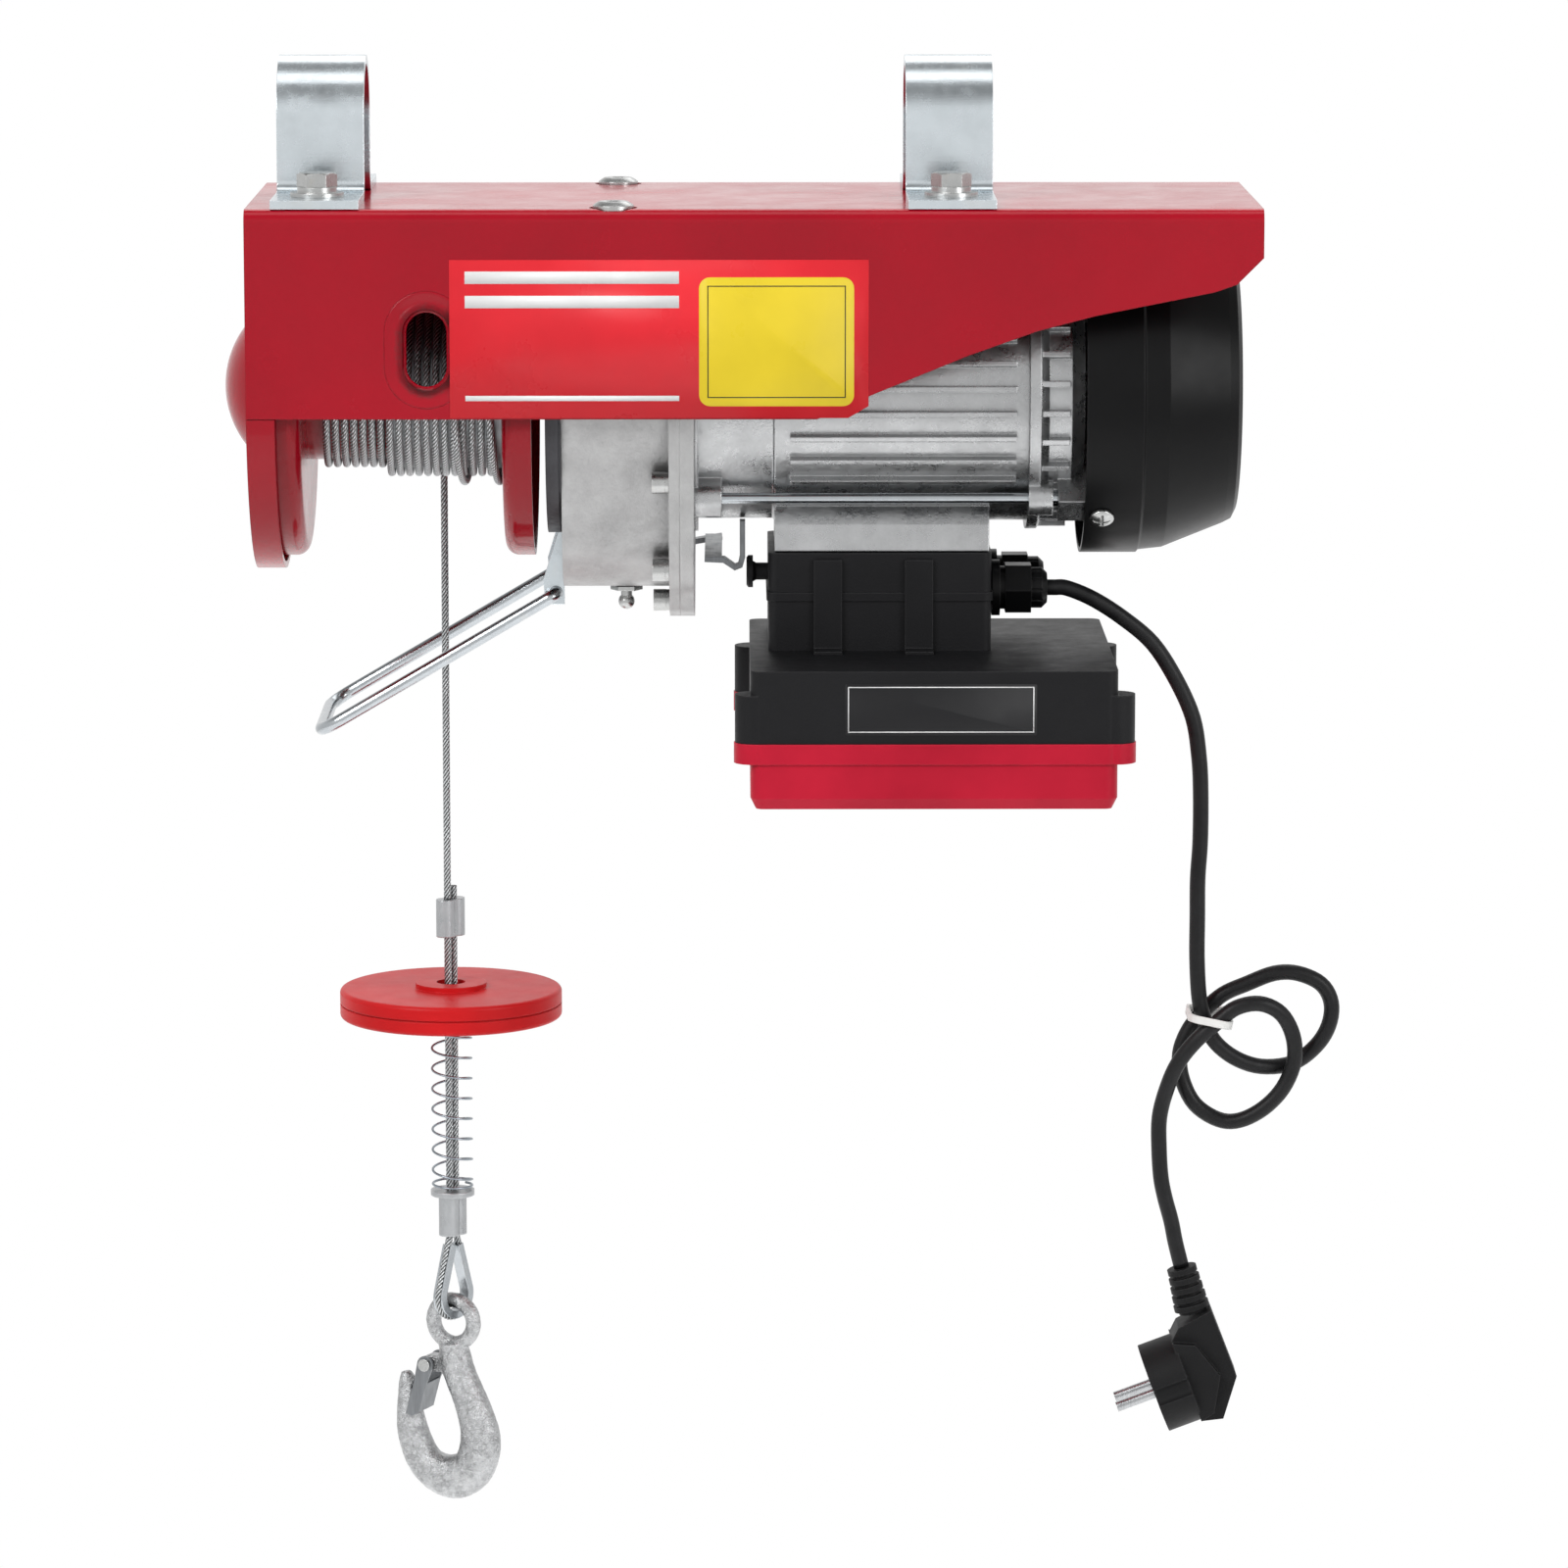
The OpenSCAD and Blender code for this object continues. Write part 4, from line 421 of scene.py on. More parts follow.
@dataclass(frozen=True)
class CastMetal:
    """Cast aluminium or iron with a grained skin, flow marks, brighter corners and painted shade in its grooves."""

    name: str
    colour: Colour
    pattern: Pattern = Pattern.PRESSURE_CAST
    roughness: float = 0.42
    metallic: float = 0.9
    # Reach of the painted shade in grooves and corners, in metres
    shade_probe: float = 0.02

    def build(self) -> bpy.types.Material:
        """Gives the casting's material."""
        graph = Graph(self.name)
        graph.set(Metallic=self.metallic)
        coarse = self.pattern is Pattern.SAND_CAST
        pale = tone(self.colour, 1.14)
        deep = tone(self.colour, 0.84)
        flow = graph.noise(26.0, 6.0, 0.68, graph.stretched((1.0, 1.6, 0.7), (0.3, 0.1, 0.4)))
        speck = graph.fit(graph.noise(620.0, 2.0, 0.6), 0.35, 0.7)
        body = graph.mix(graph.fit(flow, 0.32, 0.7), deep, pale)
        body = graph.mix(graph.maths("MULTIPLY", speck, 0.3), body, pale)
        # Painted shade: grooves and corners darkened towards three tenths of the colour
        body = graph.mix(graph.maths("MULTIPLY", graph.painted_crevice_shade(self.shade_probe), 0.6), body, tone(self.colour, 0.3))
        graph.colour(graph.mix(graph.sharp_edge_share(0.0011), body, tone(self.colour, 1.3)))
        graph.roughness(graph.fit(graph.noise(85.0, 5.0, 0.7), 0.3, 0.72, self.roughness - 0.1, self.roughness + 0.16))
        grain = graph.noise(330.0 if coarse else 520.0, 4.0, 0.7)
        graph.relief((grain, 0.0003 if coarse else 0.00013), (flow, 0.0003), radius=0.0009)
        return graph.material


@dataclass(frozen=True)
class TurnedSteel:
    """Ground or drawn steel with fine marks around or along X."""

    name: str
    colour: Colour = (0.42, 0.43, 0.44)
    roughness: float = 0.22

    def build(self) -> bpy.types.Material:
        """Gives the steel's material."""
        graph = Graph(self.name)
        graph.set(Metallic=1.0)
        marks = graph.noise(900.0, 3.0, 0.6, graph.stretched((1.0, 0.06, 0.06)))
        graph.colour(graph.mix(graph.fit(marks, 0.3, 0.7), self.colour, tone(self.colour, 0.74)))
        graph.roughness(graph.clouds(120.0, 4.0, 0.55, self.roughness, self.roughness + 0.18))
        graph.relief((marks, 0.00002), radius=0.0005)
        return graph.material


@dataclass(frozen=True)
class MouldedPlastic:
    """Moulded plastic with spark grain or a polished skin, sink clouds and a painted highlight on its edges."""

    name: str
    colour: Colour
    pattern: Pattern = Pattern.SPARK_GRAIN
    roughness: float = 0.42
    # Strength of the painted highlight on the edges
    edge: float = 0.5
    specular: float = 0.16

    def build(self) -> bpy.types.Material:
        """Gives the plastic's material."""
        graph = Graph(self.name)
        grained = self.pattern is Pattern.SPARK_GRAIN
        graph.set(Metallic=0.0, Specular_IOR_Level=self.specular)
        clouds = graph.fit(graph.noise(14.0, 4.0), 0.32, 0.68)
        body = graph.mix(clouds, tone(self.colour, 0.84), tone(self.colour, 1.14, 0.002))
        # Painted highlight: sharp edges lightened to more than twice the colour
        painted_edge_highlight = graph.maths("MULTIPLY", graph.sharp_edge_share(0.001), self.edge)
        graph.colour(graph.mix(painted_edge_highlight, body, tone(self.colour, 2.2, 0.04)))
        spread = 0.14 if grained else 0.08
        graph.roughness(graph.fit(graph.noise(70.0, 5.0, 0.7), 0.3, 0.72, self.roughness, self.roughness + spread))
        if grained:
            grain = graph.cells(1500.0).outputs["Distance"]
            graph.relief((grain, 0.00005), (graph.noise(30.0, 2.0), 0.0002), radius=0.0007)
        else:
            graph.relief((graph.noise(22.0, 2.0), 0.0003), radius=0.0008)
        return graph.material


@dataclass(frozen=True)
class HotDipZinc:
    """Thick hot-dip zinc: pale crystals over a rough forging, with dull and bright patches and painted shade in its
    hollows.
    """

    name: str
    colour: Colour = (0.34, 0.345, 0.35)

    def build(self) -> bpy.types.Material:
        """Gives the zinc's material."""
        graph = Graph(self.name)
        graph.set(Metallic=1.0)
        crystals = graph.cells(620.0)
        facet = self.shade(graph, crystals.outputs["Color"])
        body = graph.mix(facet, tone(self.colour, 0.8), tone(self.colour, 1.2))
        dull = graph.fit(graph.noise(130.0, 5.0, 0.65), 0.46, 0.62)
        body = graph.mix(graph.maths("MULTIPLY", dull, 0.5), body, tone(self.colour, 1.45))
        # Painted shade: hollows darkened towards four tenths of the colour
        graph.colour(graph.mix(graph.painted_crevice_shade(0.006), body, tone(self.colour, 0.4)))
        graph.roughness(graph.clouds(240.0, 4.0, 0.7, 0.14, 0.34))
        graph.relief((graph.noise(420.0, 4.0, 0.7), 0.0007), (graph.noise(1100.0, 3.0, 0.7), 0.0003))
        return graph.material

    @staticmethod
    def shade(graph: Graph, colour: Socket) -> Socket:
        """Gives one grey value per crystal.

        Args:
            graph: The material's graph.
            colour: The cells' colour output.

        Returns:
            A value from zero to one.
        """
        parts = graph.node("ShaderNodeSeparateColor")
        graph.link(colour, parts.inputs["Color"])
        return parts.outputs["Red"]


@dataclass(frozen=True)
class RopeWire:
    """Galvanised rope wire: bright crowns, patches of grease, darker lines between the wires and painted shade in the
    grooves between the strands.
    """

    name: str
    colour: Colour = (0.66, 0.68, 0.69)

    def build(self) -> bpy.types.Material:
        """Gives the wire's material."""
        graph = Graph(self.name)
        graph.set(Metallic=0.9)
        lay = graph.node("ShaderNodeSeparateXYZ")
        graph.link(graph.node("ShaderNodeUVMap", uv_map="Lay").outputs["UV"], lay.inputs["Vector"])
        along, strand = lay.outputs["X"], lay.outputs["Y"]
        groove = graph.maths("ABSOLUTE", graph.maths("COSINE", graph.maths("MULTIPLY", strand, math.pi), 0.0), 0.0)
        twist = graph.maths("ADD", graph.maths("MULTIPLY", strand, 2 * math.tau), graph.maths("MULTIPLY", along, 5.0))
        wires = graph.fit(graph.maths("SINE", twist, 0.0), -1.0, 1.0)
        grease = graph.fit(graph.noise(45.0, 5.0, 0.7), 0.4, 0.7)
        bright = graph.mix(grease, self.colour, tone(self.colour, 0.76))
        bright = graph.mix(graph.maths("MULTIPLY", wires, 0.35), bright, tone(self.colour, 0.45))
        # Painted shade: the grooves between the strands darkened to a tenth of the colour
        graph.colour(graph.mix(graph.fit(groove, 0.55, 0.96), bright, tone(self.colour, 0.1)))
        graph.roughness(graph.clouds(300.0, 3.0, 0.55, 0.28, 0.5))
        graph.relief((wires, 0.00012), (graph.noise(700.0, 2.0), 0.00003))
        return graph.material


@dataclass(frozen=True)
class CordJacket:
    """Soft black cord jacket with a dull bloom and faint marks along it."""

    name: str
    colour: Colour = (0.006, 0.006, 0.0065)
    roughness: float = 0.4

    def build(self) -> bpy.types.Material:
        """Gives the jacket's material."""
        graph = Graph(self.name)
        graph.set(Specular_IOR_Level=0.22)
        bloom = graph.fit(graph.noise(60.0, 5.0, 0.7), 0.42, 0.72)
        graph.colour(graph.mix(bloom, self.colour, tone(self.colour, 1.9)))
        graph.roughness(graph.clouds(110.0, 4.0, 0.55, self.roughness - 0.06, self.roughness + 0.12))
        graph.relief((graph.noise(1200.0, 3.0), 0.00004), (graph.noise(90.0, 2.0), 0.00018), radius=0.0006)
        return graph.material


@dataclass(frozen=True)
class VinylLabel:
    """Printed vinyl film with a faint ripple and a satin face."""

    name: str
    colour: Colour
    roughness: float = 0.3

    def build(self) -> bpy.types.Material:
        """Gives the film's material."""
        graph = Graph(self.name)
        graph.set(Specular_IOR_Level=0.22)
        ink = graph.clouds(24.0, 4.0, 0.55)
        graph.colour(graph.mix(ink, tone(self.colour, 0.93), tone(self.colour, 1.05)))
        graph.roughness(graph.clouds(50.0, 4.0, 0.55, self.roughness - 0.05, self.roughness + 0.1))
        graph.relief((graph.noise(48.0, 2.0), 0.00022), (graph.noise(1500.0, 2.0), 0.00001))
        return graph.material


@dataclass(frozen=True)
class MilkyDome:
    """Milky clear dome that softly shows what lies behind it."""

    name: str

    def build(self) -> bpy.types.Material:
        """Gives the dome's material."""
        graph = Graph(self.name)
        graph.set(Transmission_Weight=0.55, IOR=1.46, Coat_Weight=0.4)
        haze = graph.clouds(120.0, 3.0, 0.55)
        graph.colour(graph.mix(haze, (0.80, 0.82, 0.84), (0.90, 0.91, 0.92)))
        graph.roughness(graph.clouds(200.0, 3.0, 0.55, 0.18, 0.32))
        graph.relief((graph.noise(80.0, 2.0), 0.0001))
        return graph.material


@dataclass(frozen=True)
class CircuitBoard:
    """Green lacquered board with copper tracks under the lacquer."""

    name: str

    def build(self) -> bpy.types.Material:
        """Gives the board's material."""
        graph = Graph(self.name)
        graph.set(Coat_Weight=0.3)
        tracks = graph.cells(260.0, "DISTANCE_TO_EDGE").outputs["Distance"]
        graph.colour(graph.mix(graph.fit(tracks, 0.03, 0.09), (0.06, 0.28, 0.09), (0.012, 0.10, 0.03)))
        graph.roughness(graph.clouds(90.0, 3.0, 0.55, 0.25, 0.4))
        graph.relief((graph.fit(tracks, 0.03, 0.09), 0.00006))
        return graph.material


@dataclass(frozen=True)
class EnamelledCopper:
    """Varnished copper winding with its turns side by side."""

    name: str

    def build(self) -> bpy.types.Material:
        """Gives the winding's material."""
        graph = Graph(self.name)
        graph.set(Metallic=0.8)
        turns = graph.noise(1400.0, 2.0, 0.5, graph.stretched((0.1, 1.0, 1.0)))
        graph.colour(graph.mix(graph.fit(turns, 0.3, 0.7), (0.22, 0.08, 0.03), (0.48, 0.22, 0.10)))
        graph.roughness(graph.clouds(150.0, 3.0, 0.55, 0.3, 0.45))
        graph.relief((turns, 0.0001))
        return graph.material


# ---- Shapes --------------------------------------------------------------------------------


def smooth_route(points: Sequence[Point], per_span: int) -> list[Vector]:
    """Runs one smooth curve through the given points.

    Args:
        points: Points of the route.
        per_span: Pieces that each span is cut into.

    Returns:
        The points of the curve, ends included.
    """
    raw = [Vector(p) for p in points]
    ends = [2 * raw[0] - raw[1], *raw, 2 * raw[-1] - raw[-2]]
    made = []
    for a, b, c, d in zip(ends, ends[1:], ends[2:], ends[3:]):
        for i in range(per_span):
            t = i / per_span
            made.append(
                0.5 * (2 * b + (c - a) * t + (2 * a - 5 * b + 4 * c - d) * t * t + (3 * b - a - 3 * c + d) * t**3)
            )
    return [*made, raw[-1]]


def carried_frames(path: Sequence[Vector], side: Vector) -> list[tuple[Vector, Vector]]:
    """Carries a pair of side vectors along a path without twist.

    Args:
        path: Points of the path.
        side: Rough direction of the first side vector.

    Returns:
        Two unit vectors square to the path at each point.
    """
    count = len(path)
    made = []
    for i in range(count):
        along = (path[min(i + 1, count - 1)] - path[max(i - 1, 0)]).normalized()
        side = (side - along * side.dot(along)).normalized()
        made.append((side.copy(), along.cross(side)))
    return made


def mesh_object(name: str, build: Fill) -> bpy.types.Object:
    """Makes an object from a function that fills a mesh.

    Args:
        name: Name of the piece.
        build: Fills the mesh it is given.

    Returns:
        The new object, shaded smooth.
    """
    mesh = bpy.data.meshes.new(name)
    work = bmesh.new()
    build(work)
    bmesh.ops.recalc_face_normals(work, faces=work.faces)
    for face in work.faces:
        face.smooth = True
    work.to_mesh(mesh)
    work.free()
    made = bpy.data.objects.new(name, mesh)
    bpy.context.scene.collection.objects.link(made)
    return made


def join_rings(work: Mesh, low: Ring, high: Ring) -> list[bmesh.types.BMFace]:
    """Adds the band of faces between two closed rings with as many points.

    Args:
        work: Mesh that takes the faces.
        low: Points of the first ring.
        high: Points of the second ring.

    Returns:
        The new faces, in the order of the points.
    """
    count = len(low)
    return [work.faces.new((low[k], low[(k + 1) % count], high[(k + 1) % count], high[k])) for k in range(count)]


def closed_shell(work: Mesh, rings: Sequence[Ring]) -> None:
    """Adds a shell that runs from ring to ring and is closed at both ends.

    Args:
        work: Mesh that takes the shell.
        rings: The rings, from one end to the other.
    """
    for low, high in zip(rings, rings[1:]):
        join_rings(work, low, high)
    work.faces.new(rings[0])
    work.faces.new(rings[-1])


def sweep(
    work: Mesh,
    path: Sequence[Vector],
    outline: Outline,
    sides: int,
    side: Vector,
    lay: float = 0.0,
) -> None:
    """Sweeps a ring with its own radius at each place along a path, and closes its ends.

    Args:
        work: Mesh that takes the tube.
        path: Points of the path.
        outline: Radius from the ring's number and the angle on it.
        sides: Points of a ring.
        side: Rough direction of each ring's first point.
        lay: Turns per metre by which the rope's own pattern twists.
    """
    pairs = carried_frames(path, side)
    wraps = work.loops.layers.uv.get("Lay") or work.loops.layers.uv.new("Lay")
    travelled = [0.0]
    for a, b in zip(path, path[1:]):
        travelled.append(travelled[-1] + (b - a).length)
    rings = []
    for i, (place, (u, v)) in enumerate(zip(path, pairs)):
        turn = math.tau * lay * travelled[i]
        ring = []
        for k in range(sides):
            angle = math.tau * k / sides
            radius = outline(i, angle)
            ring.append(work.verts.new(place + radius * (math.cos(angle + turn) * u + math.sin(angle + turn) * v)))
        rings.append(ring)
    for i, (low, high) in enumerate(zip(rings, rings[1:])):
        for k, face in enumerate(join_rings(work, low, high)):
            around = ((k, i), (k + 1, i), (k + 1, i + 1), (k, i + 1))
            for loop, (column, row) in zip(face.loops, around):
                loop[wraps].uv = (travelled[row] / MM, column / sides * STRANDS)
    work.faces.new(rings[0])
    work.faces.new(rings[-1])


def rope_outline(radius: float, depth: float) -> Outline:
    """Gives the outline of a stranded rope.

    Args:
        radius: Outer radius.
        depth: Depth of the valleys between the strands.

    Returns:
        The radius for a ring's number and an angle.
    """

    def outline(_: int, angle: float) -> float:
        """Gives the radius at an angle on the ring."""
        valley = abs(math.cos(STRANDS * angle / 2.0))
        return radius - depth * valley**3

    return outline


def round_outline(radius: float) -> Outline:
    """Gives the outline of a round wire or cord."""
    return lambda _ring, _angle: radius


def rounded_sheet(
    work: Mesh,
    low: Flat,
    high: Flat,
    radius: float,
    lift: float,
    thick: float,
    corner: int = 6,
) -> None:
    """Adds a thin rounded rectangle that lies in X and Z, with a softened rim, facing -Y.

    Args:
        work: Mesh that takes the sheet.
        low: Lower X and Z.
        high: Higher X and Z.
        radius: Corner radius.
        lift: Y of the back.
        thick: Thickness towards -Y.
        corner: Segments of a corner.
    """
    centres = (
        (high[0] - radius, high[1] - radius, 0.0),
        (low[0] + radius, high[1] - radius, 0.5 * math.pi),
        (low[0] + radius, low[1] + radius, math.pi),
        (high[0] - radius, low[1] + radius, 1.5 * math.pi),
    )

    def ring(inset: float, y: float) -> list[bmesh.types.BMVert]:
        """Gives the outline moved inwards at one height."""
        reach = max(radius - inset, 0.0)
        return [
            work.verts.new((cx + reach * math.cos(a + t), y, cz + reach * math.sin(a + t)))
            for cx, cz, a in centres
            for t in (0.5 * math.pi * k / corner for k in range(corner + 1))
        ]

    rim = 0.4 * thick
    closed_shell(work, [ring(0.0, lift), ring(0.0, lift - thick + rim), ring(rim, lift - thick)])


def ribbon(work: Mesh, line: Sequence[Flat], width: float, y: float, thick: float) -> None:
    """Adds a thin band along a line in X and Z, facing -Y.

    Args:
        work: Mesh that takes the band.
        line: Points of its middle, as X and Z.
        width: Width of the band.
        y: Y of its back.
        thick: Thickness towards -Y.
    """
    rows = []
    count = len(line)
    for i, (x, z) in enumerate(line):
        before, after = line[max(i - 1, 0)], line[min(i + 1, count - 1)]
        run = Vector((after[0] - before[0], after[1] - before[1])).normalized()
        across = (-run.y * width / 2, run.x * width / 2)
        rows.append([
            work.verts.new((x + s * across[0], y - h * thick, z + s * across[1]))
            for s, h in ((1, 0), (1, 1), (-1, 1), (-1, 0))
        ])
    closed_shell(work, rows)


# ---- Sub-assemblies ------------------------------------------------------------------------


@dataclass
class Piece:
    """What every made piece is given: its body, its finish and its record slot."""

    shape: bpy.types.Object
    finish: bpy.types.Material
    slot: str
    replaces: tuple[str, ...] = ()

    def dress(self) -> bpy.types.Object:
        """Gives the piece its material and hides what it stands for."""
        self.shape.data.materials.append(self.finish)
        if self.replaces:
            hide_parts(*self.replaces)
        LOG.info("%s: %d faces", self.shape.name, len(self.shape.data.polygons))
        return self.shape


@dataclass
class WireRope:
    """The stranded wire rope: its turns on the drum, its fall and its loop round the thimble."""

    diameter: float = 3.6 * MM
    lay_length: float = 13.0 * MM
    valley: float = 0.5 * MM
    pitch: float = 4.2 * MM
    drum_axis_z: float = -124.0 * MM
    first_x: float = -152.0 * MM
    low_radius: float = 36.65 * MM
    low_turns: float = 6.5
    climb_turns: float = 0.5
    high_turns: float = 12.0
    back_turns: float = 1.75
    fall_offset: float = 60.3 * MM
    fall_end_z: float = -375.0 * MM
    loop_yaw: float = math.radians(50.0)
    strand_offset: float = 2.1 * MM
    loop_neck_z: float = -539.0 * MM
    bow_z: float = -569.0 * MM
    bow_radius: float = 10.7 * MM
    neck_step: float = 60.0 * MM
    neck_shares: tuple[float, ...] = (0.0, 0.7, 1.5, 2.2)
    bow_steps: int = 28
    loose_end: float = 6.0 * MM
    flange_gap: float = 3.0 * MM
    turn_steps: int = 110
    ring_sides: int = 18
    ring_step: float = 0.8 * MM
    finish: RopeWire = field(default_factory=lambda: RopeWire("wire_rope_grease_and_groove_shade"))

    @property
    def radius(self) -> float:
        """Half the diameter."""
        return self.diameter / 2

    @property
    def high_radius(self) -> float:
        """Radius of the second layer's middle."""
        return self.low_radius + self.pitch

    @property
    def cross_radius(self) -> float:
        """Radius of the last turn, which crosses over the second layer."""
        return self.high_radius + self.pitch

    @property
    def turns(self) -> float:
        """All turns on the drum that are modelled."""
        return self.low_turns + 2 * self.climb_turns + self.high_turns + self.back_turns

    def radius_at(self, turn: float) -> float:
        """Gives the radius of the rope's middle after some turns."""
        climb, top = self.low_turns, self.low_turns + self.climb_turns
        end = top + self.high_turns
        if turn < top:
            return self.blend(self.low_radius, self.high_radius, (turn - climb) / self.climb_turns)
        return self.blend(self.high_radius, self.cross_radius, (turn - end) / self.climb_turns)

    def x_at(self, turn: float) -> float:
        """Gives the rope's X after some turns."""
        start = self.first_x + self.diameter + self.flange_gap
        last = self.low_turns + 2 * self.climb_turns + self.high_turns
        if turn < last:
            return start + self.pitch * turn
        fall_x = self.first_x + self.fall_offset
        return self.blend(start + self.pitch * last, fall_x, (turn - last) / self.back_turns)

    @staticmethod
    def blend(first: float, second: float, share: float) -> float:
        """Goes from first to second as share goes from zero to one."""
        return first + (second - first) * max(0.0, min(1.0, share))

    def wound_route(self, per_turn: int) -> list[Vector]:
        """Gives the winding's middle line.

        Args:
            per_turn: Points of one turn.

        Returns:
            The points, from the flange to where the rope leaves the drum.
        """
        count = round(self.turns * per_turn)
        made = []
        for i in range(1, count + 1):
            turn = i * self.turns / count
            angle = math.tau * (self.turns - turn)
            reach = self.radius_at(turn)
            made.append(Vector((self.x_at(turn), reach * math.cos(angle), self.drum_axis_z + reach * math.sin(angle))))
        first = made[0]
        lead = [Vector((self.first_x, first.y, first.z)), Vector((self.first_x + self.diameter, first.y, first.z))]
        tail = Vector((self.first_x + self.fall_offset, self.cross_radius, self.drum_axis_z - self.diameter))
        return [*lead, *made, tail]

    def loop_route(self) -> list[Vector]:
        """Gives the middle line of the loop: down, round the thimble and up again."""
        reach = math.hypot(self.strand_offset, self.loop_neck_z - self.bow_z)
        bend = math.atan2(self.loop_neck_z - self.bow_z, self.strand_offset) - math.acos(self.bow_radius / reach)
        sweep_angle = math.pi + 2 * bend
        flat = [(-self.strand_offset, self.fall_end_z - self.neck_step * k) for k in self.neck_shares]
        flat.append((-self.strand_offset, self.loop_neck_z))
        for k in range(self.bow_steps + 1):
            angle = math.pi - bend + k * sweep_angle / self.bow_steps
            flat.append((self.bow_radius * math.cos(angle), self.bow_z + self.bow_radius * math.sin(angle)))
        flat.append((self.strand_offset, self.loop_neck_z))
        flat += [(self.strand_offset, self.fall_end_z - self.neck_step * k) for k in reversed(self.neck_shares)]
        flat.append((self.strand_offset, self.fall_end_z + self.loose_end))
        middle = self.block_middle()
        turn = Matrix.Rotation(self.loop_yaw, 3, "Z")
        return [turn @ Vector((x, 0, 0)) + Vector((middle.x, middle.y, z)) for x, z in flat]

    def block_middle(self) -> Vector:
        """Gives the X and Y of the hook block's middle."""
        shift, yaw = self.strand_offset, self.loop_yaw
        fall_x = self.first_x + self.fall_offset
        return Vector((fall_x + shift * math.cos(yaw), self.cross_radius + shift * math.sin(yaw), 0))

    def strand_tube(self, name: str, path: Sequence[Vector]) -> bpy.types.Object:
        """Makes a length of the rope.

        Args:
            name: Name of the piece.
            path: Its middle line.

        Returns:
            The rope's mesh.
        """
        outline = rope_outline(self.radius, self.valley)
        even = self.even_steps(path, self.ring_step)
        lay = 1.0 / self.lay_length
        return mesh_object(name, lambda work: sweep(work, even, outline, self.ring_sides, Vector((0, 1, 0)), lay))

    @staticmethod
    def even_steps(path: Sequence[Vector], step: float) -> list[Vector]:
        """Cuts a line into nearly equal steps.

        Args:
            path: Points of the line.
            step: Wanted distance between points.

        Returns:
            Points on the line, ends included.
        """
        made = [path[0].copy()]
        for a, b in zip(path, path[1:]):
            parts = max(1, round((b - a).length / step))
            made += [a.lerp(b, k / parts) for k in range(1, parts + 1)]
        return made

    def build(self) -> None:
        """Makes the winding, the fall and the loop."""
        wire = self.finish.build()
        winding = self.strand_tube("rope_winding_stranded", self.wound_route(self.turn_steps))
        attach(Piece(winding, wire, "wire_rope", ("rope_winding",)).dress(), "drum")

        top = Vector((self.first_x + self.fall_offset, self.cross_radius, self.drum_axis_z - self.diameter))
        bottom = Vector((top.x, top.y, self.fall_end_z))
        fall = self.strand_tube("rope_fall_stranded", [top, bottom])
        Piece(fall, wire, "wire_rope", ("rope_fall",)).dress()
        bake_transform(fall)

        loop = self.strand_tube("rope_loop_stranded", self.loop_route())
        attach(Piece(loop, wire, "wire_rope", ("rope_loop",)).dress(), "hook_block")


